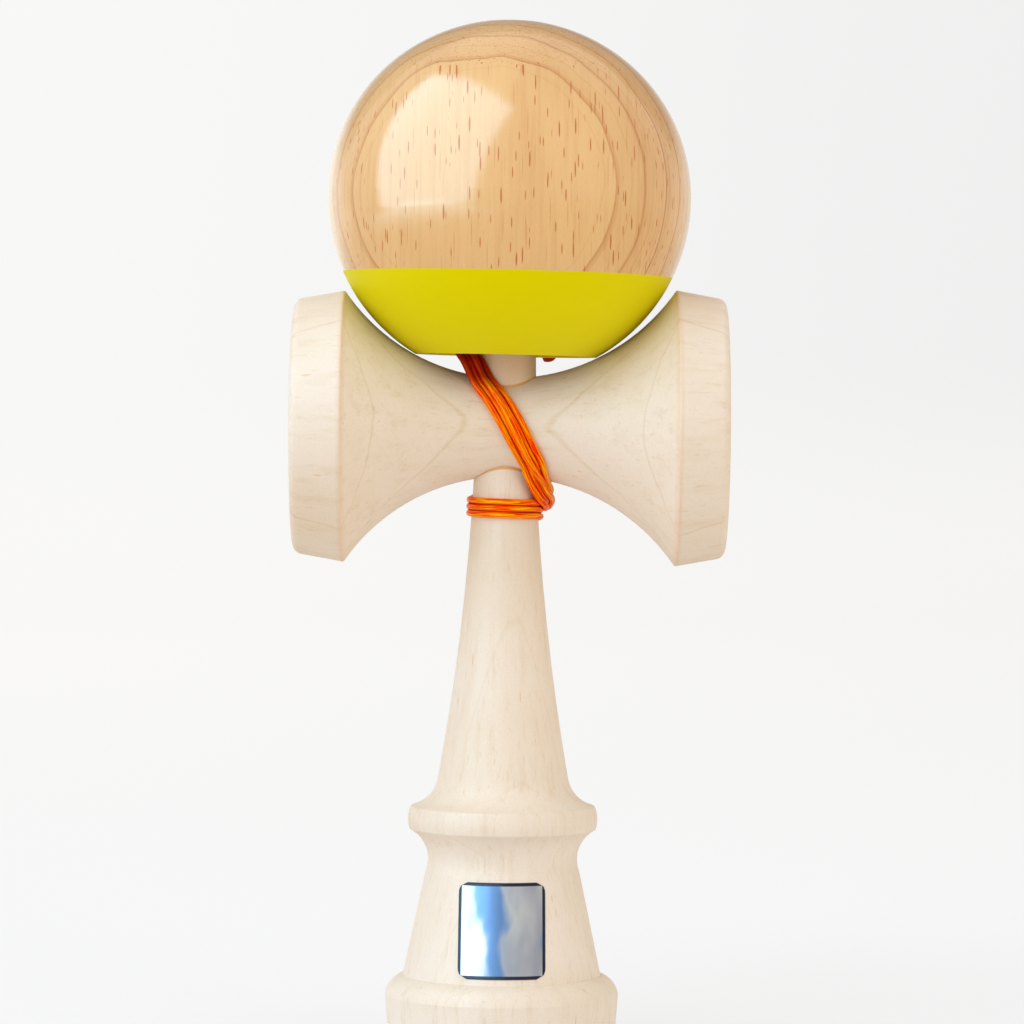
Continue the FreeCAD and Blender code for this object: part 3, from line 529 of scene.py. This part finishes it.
def string_material(colours):
    """Twisted fibres, red with painted shade in the grooves and under the ball: u runs round the string, and
    v along it in millimetres.
    """
    shade = Shade(bpy.data.materials.new("orange_string"))
    around, along = shade.uv()
    # Painted shade: how near other turns are, which darkens the string where they touch
    groove_shade = Value(shade, shade.node("ShaderNodeAttribute", {"attribute_name": "groove_shade"}).outputs["Fac"])
    height = shade.coordinates()[2]
    fibres_round, lay = 7.0, 0.30
    # Painted shade under the ball: heights in mm where it begins, and where it fades out again behind the
    # ball
    under_ball_shade_foot, under_ball_shade_top = (107.5, 110.5), (124.0, 117.0)
    fibre = ((around * fibres_round + along * lay).fraction() - 0.5).size() * 2.0
    wisps = shade.noise(shade.vector(around * 22.0, along * 0.22, 0.0), 1.0, 4.0, 0.65)
    sheen = shade.noise(shade.vector(around * 7.0, along * 0.09, 3.0), 1.0, 2.0)
    amount = wisps.ramp(0.40, 0.60) * 0.8 + fibre.ramp(0.0, 0.6) * 0.3 + sheen.ramp(0.35, 0.65) * 0.55 - 0.52
    # Painted shade: fewer lit fibres where turns touch
    amount = amount * (1.0 - groove_shade * 0.8)
    colour = shade.mix(amount.at_least(0.0), colours.string_dark, colours.string_light)
    # Painted shade: the string darker under the ball's mouth
    under_ball_shade = height.ramp(*under_ball_shade_foot) * height.ramp(*under_ball_shade_top) * 0.95
    # Painted shade: deep red where turns touch and under the ball
    colour = shade.mix(groove_shade.ramp(0.5, 1.0).at_least(under_ball_shade), colour, colours.string_painted_shade)
    return shade.surface(
        Base_Color=colour,
        Roughness=0.46 - wisps * 0.12,
        Specular_IOR_Level=0.3,
        Specular_Tint=(1.0, 0.5, 0.05, 1.0),
        Normal=shade.bump(wisps + fibre * 0.5, 0.05 * MM, 0.8),
    )


def bead_material(colours):
    shade = Shade(bpy.data.materials.new("bead_wood"))
    x, y, z = shade.coordinates()
    grain = shade.noise(shade.vector(x, y, z * 0.1), 1.6, 3.0).ramp(0.4, 0.8)
    return shade.surface(
        Base_Color=shade.mix(grain * 0.6, colours.bare_wood, colours.bare_wood_line),
        Roughness=0.4 + grain * 0.1,
    )


def foil_material(colours, sizes):
    """Plain foil with a dark edge: u and v are millimetres from its middle, and its tint drifts across it."""
    shade = Shade(bpy.data.materials.new("label_foil"))
    u, v = shade.uv()
    inner_width = (sizes.width / 2 - sizes.border) / MM
    inner_height = ((sizes.top - sizes.bottom) / 2 - sizes.border) / MM
    crinkle = shade.noise(shade.vector(u, v * 0.45, 0.0), 0.22, 2.0)
    drift = (u * 0.55 + v * 0.06 + crinkle * 4.5).sine() * 0.5 + 0.5
    silver = shade.mix(crinkle.ramp(0.3, 0.7), colours.foil, colours.foil_shade)
    blue = shade.mix(drift.ramp(0.62, 1.0), silver, colours.foil_blue)
    edge = (u.size() - inner_width).at_least(v.size() - inner_height).ramp(-0.04, 0.04)
    return shade.surface(
        Base_Color=shade.mix(edge, blue, colours.foil_edge),
        Metallic=0.75 - edge * 0.65,
        Roughness=0.34 + crinkle * 0.1,
        Coat_Weight=0.3,
        Coat_Roughness=0.1,
        Normal=shade.bump(crinkle, 0.08 * MM, 0.4),
    )


def sweep_material(colours, stage):
    """Pale paper, with its own colours for the camera, for what mirrors it and for what it lights."""
    shade = Shade(bpy.data.materials.new("sweep"))
    x, y, z = shade.coordinates()
    camera, mirrored = shade.light_path()
    right = (x / (y + stage.distance / MM)).ramp(-0.12, 0.14)
    # Painted shadow: the floor near the toy darker at its right
    floor = shade.mix(right * y.ramp(200.0, 60.0), colours.sweep_floor, colours.sweep_painted_shadow)
    floor = shade.mix(y.ramp(-100.0, 1300.0) * (1.0 - right * 0.45), floor, colours.sweep_far)
    wall = shade.mix(right, colours.sweep, colours.sweep_right)
    seen = shade.mix(z.ramp(30.0, 150.0), floor, wall)
    far = shade.mix(x.ramp(-900.0, 300.0), colours.sweep_mirrored_left, colours.sweep_mirrored)
    shown = shade.mix(y.ramp(-300.0, 1500.0), colours.sweep_near, far)
    shown = shade.mix(z.ramp(350.0, 1100.0), shown, colours.sweep_high)
    shine_x, shine_y = 0.82, 0.57
    ahead = (-(x * shine_x + y * shine_y)).ramp(350.0, 1050.0)
    aside = (x * shine_y - y * shine_x).size().ramp(800.0, 400.0)
    shown = shade.mix(ahead * aside * z.ramp(60.0, 20.0), shown, colours.sweep_shine)
    given = shade.mix(distance(x, y).ramp(110.0, 40.0), colours.sweep_glow, colours.sweep_floor)
    return shade.surface(
        Base_Color=(*colours.sweep_own, 1.0),
        Roughness=0.9,
        Specular_IOR_Level=0.0,
        Emission_Color=shade.mix(camera.at_least(mirrored), given, shade.mix(mirrored, seen, shown)),
        Emission_Strength=stage.sweep_strength,
    )


# The string's way


class Wood:
    """How far the string's line is from the wood that it is wound on."""

    def __init__(self, sizes):
        self.sizes = sizes

    def cross_radius(self, across):
        away = across - self.sizes.waist_shift
        flare = np.where(away < 0, self.sizes.small_flare, self.sizes.big_flare)
        drop = np.sqrt(np.maximum(flare**2 - away**2, LEAST_DROP**2))
        return self.sizes.waist_radius + flare - drop, away / drop

    def shaft_radius(self, height):
        """The handle's radius at a height, and how fast it changes going up."""
        under = height < self.sizes.cross_height
        slope = np.where(under, -self.sizes.shaft_slope, SPIKE_SLOPE)
        radius = np.where(under, self.sizes.shaft_radius, self.sizes.spike_radius)
        waist = np.where(under, -self.sizes.waist_radius, self.sizes.waist_radius)
        return radius + slope * (height - self.sizes.cross_height - waist), slope

    def push_out(self, points, clear):
        """The points, moved square to the wood until each is clear of it."""
        moved = points.copy()
        radius, slope = self.cross_radius(moved[:, 0])
        up = moved[:, 2] - self.sizes.cross_height
        out = np.hypot(moved[:, 1], up)
        steep = np.sqrt(1 + slope**2)
        short = np.maximum(clear - (out - radius) / steep, 0)
        normal = np.stack([-slope, moved[:, 1] / out, up / out], axis=1) / steep[:, None]
        moved += normal * short[:, None]
        radius, slope = self.shaft_radius(moved[:, 2])
        out = np.hypot(moved[:, 0], moved[:, 1])
        short = np.maximum(radius + clear - out, 0)
        moved[:, :2] *= (1 + short / out)[:, None]
        return moved


class Winding:
    """The string's way round the toy, as places and headings, and as a line that has settled on the wood."""

    def __init__(self, sizes, string):
        self.wood = Wood(sizes)
        self.sizes = sizes
        self.string = string
        self.thick = 2 * string.strand_radius

    def stand_off(self, layer):
        return self.thick * (0.5 + layer * LAYER_RISE)

    def on_cross(self, across, turn, layer, lean=0.0, aside=0.0):
        """A station on the cross piece: turn is from its crest towards the front, lean is towards +X."""
        turn, lean = math.radians(turn), math.radians(lean)
        across += aside * math.cos(lean)
        radius, slope = (float(part) for part in self.wood.cross_radius(np.float64(across)))
        radius += self.stand_off(layer)
        turn -= aside * math.sin(lean) / radius
        outward = Vector((0, -math.sin(turn), math.cos(turn)))
        onward = Vector((0, -math.cos(turn), -math.sin(turn)))
        place = Vector((across, 0, self.sizes.cross_height)) + outward * radius
        along = Vector((1, 0, 0)) + outward * slope
        return place, (onward * math.cos(lean) + along * math.sin(lean)).normalized()

    def on_shaft(self, height, turn, layer, climb=0.0, aside=0.0):
        """A station round the handle: turn is from the back by way of the left side, climb is upwards."""
        turn, climb = math.radians(turn), math.radians(climb)
        height += aside * math.cos(climb)
        radius = float(self.wood.shaft_radius(np.float64(height))[0]) + self.stand_off(layer)
        turn -= aside * math.sin(climb) / radius
        outward = Vector((-math.sin(turn), math.cos(turn), 0))
        onward = Vector((-math.cos(turn), -math.sin(turn), 0))
        heading = onward * math.cos(climb) + Vector((0, 0, math.sin(climb)))
        return Vector((0, 0, height)) + outward * radius, heading

    def behind_spike(self, turn, slot, layer, lift):
        """A station round the spike, over the cross piece's back: turn is from the back towards the left."""
        out = self.sizes.spike_radius + self.stand_off(0) + slot * self.thick

        def place(at):
            across = -out * math.sin(math.radians(at))
            back = out * math.cos(math.radians(at))
            radius = float(self.wood.cross_radius(np.float64(across))[0]) + self.stand_off(layer)
            rise = math.sqrt(max(radius**2 - back**2, LEAST_DROP**2))
            return Vector((across, back, self.sizes.cross_height + rise + lift))

        return place(turn), (place(turn + 1) - place(turn - 1)).normalized()

    def band(self):
        """Out of the hole in the cross piece's back, and down round the handle."""
        top, pitch = self.string.band_top, self.thick
        quarters = 4 * self.string.band_turns - 1
        dive = math.degrees(self.string.band_dive)
        hole = self.on_cross(0.0, 270.0, 0)[0]
        stations = [
            (hole - Vector((0, self.string.exit_depth, 0)), Vector((0, 1, 0))),
            (hole + Vector((0, self.string.exit_straight, 0)), Vector(HOLE_HEADING).normalized()),
            self.on_shaft(top + pitch * BAND_IN[0], *BAND_IN[1:]),
        ]
        for step in range(quarters):
            stations.append(self.on_shaft(top - pitch * step / 4, 90.0 * (step + 1), 0, -dive))
        foot = top - pitch * quarters / 4
        stations += [self.on_shaft(foot + pitch * strands, *way) for strands, *way in BAND_OUT]
        return stations

    def loop(self, slot, layer, next_slot, next_layer):
        """One oblique loop: up the back, behind the spike, over the crest, down the front, round the side."""
        aside = slot * self.thick
        lower = [slot for slot, layer in LOOP_PLACES if layer == 0]
        stations = [self.on_cross(across * MM, turn, layer, lean, aside) for across, turn, lean in LOOP_BACK]
        for turn, lift in LOOP_BEHIND_SPIKE:
            stations.append(self.behind_spike(turn, max(lower) - slot, layer, lift * MM))
        for across, turn, lean in LOOP_FRONT:
            stations.append(self.on_cross(across * MM, turn, layer, lean, aside))
        onward = (slot, slot * LAYER_RISE, (slot + next_slot) / 2, next_slot)
        for (height, turn, climb), strands in zip(LOOP_RIGHT, onward):
            stations.append(self.on_shaft(height * MM, turn, next_layer + 1, climb, strands * self.thick))
        return stations

    def stations(self):
        stations = self.band()
        for place, next_place in zip(LOOP_PLACES, (*LOOP_PLACES[1:], TAIL_PLACE)):
            stations += self.loop(*place, *next_place)
        stations += [self.on_cross(across * MM, turn, 1, lean) for across, turn, lean in TAIL_BACK]
        return stations

    def line(self, spacing):
        """Points along the stations, one for each spacing."""
        stations = self.stations()
        points = [stations[0][0]]
        for (start, leaving), (end, arriving) in zip(stations, stations[1:]):
            reach = (end - start).length / SPAN_TO_HANDLE
            count = max(2, round((end - start).length / spacing) + 1)
            span = interpolate_bezier(start, start + leaving * reach, end - arriving * reach, end, count)
            points += span[1:]
        return np.array([tuple(point) for point in points])

    def settled(self):
        """The line, pulled smooth and pushed clear of the wood and of its own other turns."""
        points = self.line(self.thick * POINT_SPACING)
        drawn = points.copy()
        first, second = np.triu_indices(len(points), OWN_POINTS)
        near = np.linalg.norm(points[first] - points[second], axis=1) < WATCHED_TURNS * self.thick
        first, second = first[near], second[near]
        for step in range(self.string.settle_steps):
            middle = (points[:-2] + points[2:]) / 2
            points[1:-1] += (middle - points[1:-1]) * SMOOTHING
            points[1:-1] += (drawn[1:-1] - points[1:-1]) * HOLDING
            apart = points[first] - points[second]
            between = np.linalg.norm(apart, axis=1)
            short = np.maximum(self.thick * NEAREST_TURNS - between, 0)
            push = apart * (PUSH_SHARE * short / np.maximum(between, 1e-7))[:, None]
            pushed = np.zeros_like(points)
            pushes = np.zeros(len(points))
            for ends, sign in ((first, 1), (second, -1)):
                np.add.at(pushed, ends, sign * push)
                np.add.at(pushes, ends, short > 0)
            pushed[:HELD_POINTS] = 0
            points += pushed / np.maximum(pushes, 1)[:, None] * PUSH_GAIN
            points[HELD_POINTS:] = self.wood.push_out(points[HELD_POINTS:], self.string.strand_radius)
        return [Vector(point) for point in points]


def new_piece(name, shape, material):
    """An object with that shape, at the origin."""
    mesh = bpy.data.meshes.new(name)
    shape.to_mesh(mesh)
    shape.free()
    mesh.materials.append(material)
    piece = bpy.data.objects.new(name, mesh)
    bpy.context.scene.collection.objects.link(piece)
    return piece


def tube(name, line, radius, material):
    """A closed tube along the line, with u once round it and v along it in millimetres."""
    shape = bmesh.new()
    layer = shape.loops.layers.uv.new("UVMap")
    heading = (line[1] - line[0]).normalized()
    side = heading.orthogonal().normalized()
    rings, lengths = [], []
    length = 0.0
    for index, place in enumerate(line):
        before, after = line[max(index - 1, 0)], line[min(index + 1, len(line) - 1)]
        turned = (after - before).normalized()
        side = (heading.rotation_difference(turned) @ side).normalized()
        heading = turned
        other = heading.cross(side)
        ring = []
        for corner in range(TUBE_SIDES):
            angle = FULL_TURN * corner / TUBE_SIDES
            ring.append(shape.verts.new(place + (side * math.cos(angle) + other * math.sin(angle)) * radius))
        if index:
            length += (place - line[index - 1]).length / MM
        rings.append(ring)
        lengths.append(length)
    for ring, next_ring, start, end in zip(rings, rings[1:], lengths, lengths[1:]):
        for corner in range(TUBE_SIDES):
            beside = (corner + 1) % TUBE_SIDES
            face = shape.faces.new((ring[corner], ring[beside], next_ring[beside], next_ring[corner]))
            face.smooth = True
            left, right = corner / TUBE_SIDES, (corner + 1) / TUBE_SIDES
            for loop, place in zip(face.loops, ((left, start), (right, start), (right, end), (left, end))):
                loop[layer].uv = place
    shape.faces.new(rings[0][::-1])
    shape.faces.new(rings[-1])
    bmesh.ops.recalc_face_normals(shape, faces=shape.faces)
    return new_piece(name, shape, material)


def paint_groove_shade(piece, line, radius):
    """Stores painted shade for the grooves between turns: how near each point of the tube is to other turns,
    1 where they touch, 0 in the open.
    """
    centres = np.array([tuple(place) for place in line])
    places = np.array([tuple(vertex.co) for vertex in piece.data.vertices])
    order = np.arange(len(centres))
    values = np.zeros(len(places))
    for index in order:
        others = centres[np.abs(order - index) > OWN_GROOVE_SHADE_POINTS]
        ring = slice(TUBE_SIDES * index, TUBE_SIDES * (index + 1))
        nearest = np.linalg.norm(places[ring][:, None] - others[None], axis=2).min(axis=1) / radius
        # Painted shade: 1 where turns touch, fading to 0 in the open
        values[ring] = np.clip((GROOVE_SHADE_REACH - nearest) / (GROOVE_SHADE_REACH - 1), 0, 1)
    layer = piece.data.attributes.new("groove_shade", "FLOAT", "POINT")
    layer.data.foreach_set("value", values)


def nurbs_line(name, route):
    """Points along the smooth open spline that has the route as its control points."""
    curve = bpy.data.curves.new(name, "CURVE")
    curve.dimensions = "3D"
    curve.resolution_u = 12
    spline = curve.splines.new("NURBS")
    spline.points.add(len(route) - 1)
    for point, place in zip(spline.points, route):
        point.co = (*place, 1.0)
    spline.order_u = 3
    spline.use_endpoint_u = True
    holder = bpy.data.objects.new(name, curve)
    mesh = bpy.data.meshes.new_from_object(holder)
    line = [vertex.co.copy() for vertex in mesh.vertices]
    bpy.data.meshes.remove(mesh)
    bpy.data.objects.remove(holder)
    bpy.data.curves.remove(curve)
    return line


def crown_drop(sizes):
    """How far under the ball's centre the centre of its crown is."""
    return sizes.crown_radius - sizes.ball_radius + sizes.crown_sink


def ball_surface(sizes, angle):
    """How far the ball's surface is from its centre, at an angle over its equator."""
    side = sizes.ball_radius - sizes.side_shift + sizes.side_shift * math.cos(angle)
    drop = crown_drop(sizes)
    crown = math.sqrt(sizes.crown_radius**2 - (drop * math.cos(angle)) ** 2)
    return max(side, crown - drop * math.sin(angle)) if angle > 0 else sizes.ball_radius


def crown_edge(sizes):
    """The middle of the rounding of the crown hole's edge: how far out, and over the ball's centre."""
    out = sizes.crown_hole_radius + sizes.crown_hole_round
    return out, math.sqrt((sizes.crown_radius - sizes.crown_hole_round) ** 2 - out**2) - crown_drop(sizes)


def over_ball_route(sizes, string, foot):
    """Up from the winding with a little slack, up the ball's back, into its crown and down to the knot."""
    centre = Vector(sizes.ball_centre)
    lean = Matrix.Rotation(sizes.ball_lean, 3, "Y")
    edge_out, edge_up = crown_edge(sizes)
    touch, brink = string.touch_height, math.atan2(edge_up, edge_out)
    off = string.strand_radius + string.clearance
    route = [foot, foot + Vector(SLACK_START) * MM]
    route += [Vector(place) * MM for place in SLACK]
    steps = 6
    half = (brink - touch) / steps / 2
    for step in range(steps):
        angle = touch + half * (2 * step + 1)
        out = (ball_surface(sizes, angle) + off) / math.cos(half)
        turn = string.touch_turn + (string.crown_turn - string.touch_turn) * step / (steps - 1)
        level = out * math.cos(angle)
        place = Vector((level * math.sin(turn), level * math.cos(turn), out * math.sin(angle)))
        route.append(centre + lean @ place)
    eighth = math.pi / 8
    reach = (sizes.crown_hole_round + off) / math.cos(eighth)
    for angle in (3 * eighth, eighth):
        place = Vector((0, edge_out - reach * math.cos(angle), edge_up + reach * math.sin(angle)))
        route.append(centre + lean @ place)
    for out, up in INSIDE_BALL:
        route.append(centre + lean @ Vector((0, out * MM, up * MM)))
    route.append(centre + lean @ Vector((0, 0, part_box("stop_knot")[1].z - centre.z)))
    return route


def pressed(local, sizes, string):
    """Where a point of the string, as seen from the ball's centre, goes when it is pressed on the ball."""
    edge_out, edge_up = crown_edge(sizes)
    drop = crown_drop(sizes)
    level = math.hypot(local.x, local.y)
    share, least = string.pressed_share, string.clearance
    if local.z > edge_up and level < (local.z + drop) * edge_out / (edge_up + drop):
        inward, up = edge_out - level, local.z - edge_up
        away = math.hypot(inward, up)
        eased = share + (1 - share) * math.atan2(max(inward, 0.0), up) / (math.pi / 2)
        shrunk = (sizes.crown_hole_round + max(away - sizes.crown_hole_round, least) * eased) / away
        turned = (edge_out - inward * shrunk) / level
        return Vector((local.x * turned, local.y * turned, edge_up + up * shrunk))
    if level > edge_out or local.z < 0:
        skin = ball_surface(sizes, math.atan2(local.z, level))
        proud = local.length - skin
        if -string.strand_radius < proud < PRESSED_REACH * string.strand_radius:
            return local.normalized() * (skin + max(proud, least) * share)
    return local


def press_on_ball(piece, sizes, string):
    """Flattens the string where it is pulled tight over the ball."""
    centre = Vector(sizes.ball_centre)
    lean = Matrix.Rotation(sizes.ball_lean, 3, "Y")
    for vertex in piece.data.vertices:
        vertex.co = centre + lean @ pressed(lean.transposed() @ (vertex.co - centre), sizes, string)


# Operators


def show_material(node, material):
    """Gives the model's own node a better material."""
    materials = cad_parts[node].data.materials
    materials.clear()
    materials.append(material)


class KENDAMA_OT_camera(bpy.types.Operator):
    """Sets up the camera as in the photograph"""

    bl_idname = "kendama.camera"
    bl_label = "Make camera"

    def execute(self, context):
        stage = context.scene.kendama_stage
        data = bpy.data.cameras.new("camera")
        data.lens = stage.lens
        camera = bpy.data.objects.new("camera", data)
        context.scene.collection.objects.link(camera)
        turn = Matrix.Rotation(math.pi / 2 - stage.pitch, 4, "X") @ Matrix.Rotation(stage.roll, 4, "Z")
        camera.matrix_world = Matrix.Translation((stage.shift, -stage.distance, stage.eye_height)) @ turn
        context.scene.camera = camera
        return {"FINISHED"}


class KENDAMA_OT_string(bpy.types.Operator):
    """Winds the string round the handle and the cross piece, and takes it up over the ball"""

    bl_idname = "kendama.string"
    bl_label = "Make string"

    def execute(self, context):
        sizes = context.scene.kendama_wood
        string = context.scene.kendama_string
        material = string_material(context.scene.kendama_colours)
        line = Winding(sizes, string).settled()
        piece = tube("string_wound", line, string.strand_radius, material)
        paint_groove_shade(piece, line, string.strand_radius)
        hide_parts("string_winding")
        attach(piece, "ken")
        foot = line[-1]
        route = over_ball_route(sizes, string, foot)
        path = nurbs_line("string_to_ball_route", route)
        piece = tube("string_to_ball", path, string.strand_radius, material)
        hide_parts("string_tail", "string_over_ball")
        press_on_ball(piece, sizes, string)
        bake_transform(piece)
        for node in ("stop_knot", "anchor_knot"):
            show_material(node, material)
        return {"FINISHED"}


class KENDAMA_OT_wood(bpy.types.Operator):
    """Gives the handle, the cross piece and the bead their wood"""

    bl_idname = "kendama.wood"
    bl_label = "Finish wood"

    def execute(self, context):
        colours = context.scene.kendama_colours
        sizes = context.scene.kendama_wood
        show_material("ken_handle", handle_material(colours, sizes))
        show_material("sarado_cross", cross_material(colours, sizes))
        show_material("stop_bead", bead_material(colours))
        return {"FINISHED"}


class KENDAMA_OT_ball(bpy.types.Operator):
    """Gives the ball its lacquered wood and its paint"""

    bl_idname = "kendama.ball"
    bl_label = "Finish ball"

    def execute(self, context):
        show_material("tama_ball", ball_material(context.scene.kendama_colours, context.scene.kendama_wood))
        return {"FINISHED"}


class KENDAMA_OT_label(bpy.types.Operator):
    """Puts a plain foil label on the front of the base's cone"""

    bl_idname = "kendama.label"
    bl_label = "Make label"

    def execute(self, context):
        sizes = context.scene.kendama_label
        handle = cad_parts["ken_handle"]
        foot, top = (self.radius_at(handle, height) for height in (sizes.bottom, sizes.top))
        half_width, half_height = sizes.width / 2, (sizes.top - sizes.bottom) / 2
        shape = bmesh.new()
        layer = shape.loops.layers.uv.new("UVMap")
        steps = 24
        grid = []
        for row in range(steps + 1):
            up = half_height * (2 * row / steps - 1)
            inset = max(0.0, abs(up) - (half_height - sizes.corner))
            narrow = sizes.corner - math.sqrt(max(sizes.corner**2 - inset**2, 0.0))
            radius = foot + (top - foot) * row / steps + sizes.lift
            line = []
            for column in range(steps + 1):
                across = (half_width - narrow) * (2 * column / steps - 1)
                angle = across / radius
                place = (radius * math.sin(angle), -radius * math.cos(angle), sizes.bottom + half_height + up)
                line.append((shape.verts.new(place), (across / MM, up / MM)))
            grid.append(line)
        for before, after in zip(grid, grid[1:]):
            for column in range(steps):
                corners = (before[column], before[column + 1], after[column + 1], after[column])
                face = shape.faces.new([vertex for vertex, _ in corners])
                face.smooth = True
                for loop, (_, place) in zip(face.loops, corners):
                    loop[layer].uv = place
        bmesh.ops.solidify(shape, geom=shape.faces[:], thickness=sizes.thickness)
        bmesh.ops.recalc_face_normals(shape, faces=shape.faces)
        piece = new_piece("base_label", shape, foil_material(context.scene.kendama_colours, sizes))
        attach(piece, "ken")
        return {"FINISHED"}

    def radius_at(self, handle, height):
        """The handle's radius at a height, measured at its front."""
        hit, place, _, _ = handle.ray_cast(Vector((0, -1, height)), Vector((0, 1, 0)))
        if not hit:
            raise RuntimeError("the handle isn't where the label goes")
        return -place.y


# Name, place and size in metres, power in watts, colour, and whether matt and glossy surfaces see it
LIGHTS = (
    ("key_left", (-0.86, -0.62, 0.50), (1.35, 2.0), 14.2, (0.88, 1.0, 1.17), True, False),
    ("softbox_left", (-0.858, -0.578, 0.64), (1.6, 2.1), 30.0, (0.50, 0.90, 1.14), False, True),
    ("softbox_wide", (-0.90, -0.62, 0.62), (1.85, 2.6), 36.0, (0.58, 0.92, 1.08), False, True),
    ("fill_right", (1.1, -0.7, 0.5), (1.2, 1.2), 8.4, (0.95, 0.965, 0.98), True, False),
    ("top", (0.0, -0.15, 1.3), (0.9, 0.9), 3.0, (1.0, 0.98, 0.95), True, False),
)


class KENDAMA_OT_stage(bpy.types.Operator):
    """Makes the white sweep, the lights and the surroundings"""

    bl_idname = "kendama.stage"
    bl_label = "Make stage"

    def execute(self, context):
        self.make_sweep(context)
        self.make_lights(context)
        self.make_world(context)
        context.scene.view_settings.view_transform = "Standard"
        return {"FINISHED"}

    def make_sweep(self, context):
        stage = context.scene.kendama_stage
        back, bend = stage.sweep_back, stage.sweep_bend
        profile = [(-stage.sweep_front, 0.0)]
        steps = 12
        for step in range(steps + 1):
            angle = math.pi / 2 * step / steps
            profile.append((back + bend * math.sin(angle), bend * (1 - math.cos(angle))))
        profile.append((back + bend, stage.sweep_top))
        rows = len(profile) - 1
        shape = bmesh.new()
        bmesh.ops.create_grid(shape, x_segments=1, y_segments=rows, size=1.0)
        for vertex in shape.verts:
            row = round((vertex.co.y + 1) / 2 * rows)
            vertex.co = (vertex.co.x * stage.sweep_width / 2, *profile[row])
        for face in shape.faces:
            face.smooth = True
        new_piece("sweep", shape, sweep_material(context.scene.kendama_colours, stage))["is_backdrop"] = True

    def make_lights(self, context):
        middle = (Vector(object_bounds()[0]) + Vector(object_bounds()[1])) / 2
        for name, place, size, power, colour, diffuse, glossy in LIGHTS:
            data = bpy.data.lights.new(name, "AREA")
            data.shape = "RECTANGLE"
            data.size, data.size_y = size
            data.energy = power
            data.color = colour
            light = bpy.data.objects.new(name, data)
            light.visible_diffuse = diffuse
            light.visible_glossy = glossy
            light.location = place
            light.rotation_euler = (middle - Vector(place)).to_track_quat("-Z", "Y").to_euler()
            context.scene.collection.objects.link(light)

    def make_world(self, context):
        colours, strength = context.scene.kendama_colours, context.scene.kendama_stage.world_strength
        world = bpy.data.worlds.new("surroundings")
        shade = Shade(world)
        camera, mirrored = shade.light_path()
        light = [part * strength for part in colours.surroundings]
        colour = shade.mix(camera.at_least(mirrored), light, colours.sky)
        shade.node("ShaderNodeOutputWorld", {}, shade.node("ShaderNodeBackground", {}, colour).outputs[0])
        context.scene.world = world


class KENDAMA_PT_panel(bpy.types.Panel):
    """The kendama's steps, in the order in which they are made"""

    bl_label = "Kendama"
    bl_idname = "KENDAMA_PT_panel"
    bl_space_type = "VIEW_3D"
    bl_region_type = "UI"
    bl_category = "Kendama"

    def draw(self, context):
        for step in STEPS:
            self.layout.operator(step.bl_idname)


STEPS = (
    KENDAMA_OT_camera,
    KENDAMA_OT_string,
    KENDAMA_OT_wood,
    KENDAMA_OT_ball,
    KENDAMA_OT_label,
    KENDAMA_OT_stage,
)
SETTINGS = {
    "kendama_wood": KendamaWoodSizes,
    "kendama_string": KendamaStringSizes,
    "kendama_label": KendamaLabelSizes,
    "kendama_colours": KendamaColours,
    "kendama_stage": KendamaStage,
}


def register():
    for kind in (*SETTINGS.values(), *STEPS, KENDAMA_PT_panel):
        bpy.utils.register_class(kind)
    for name, kind in SETTINGS.items():
        setattr(bpy.types.Scene, name, PointerProperty(type=kind))


def unregister():
    for name in SETTINGS:
        delattr(bpy.types.Scene, name)
    for kind in (KENDAMA_PT_panel, *STEPS, *SETTINGS.values()):
        bpy.utils.unregister_class(kind)


def main():
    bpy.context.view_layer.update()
    register()
    for step in STEPS:
        group, name = step.bl_idname.split(".")
        getattr(getattr(bpy.ops, group), name)()


if __name__ == "__main__":
    main()
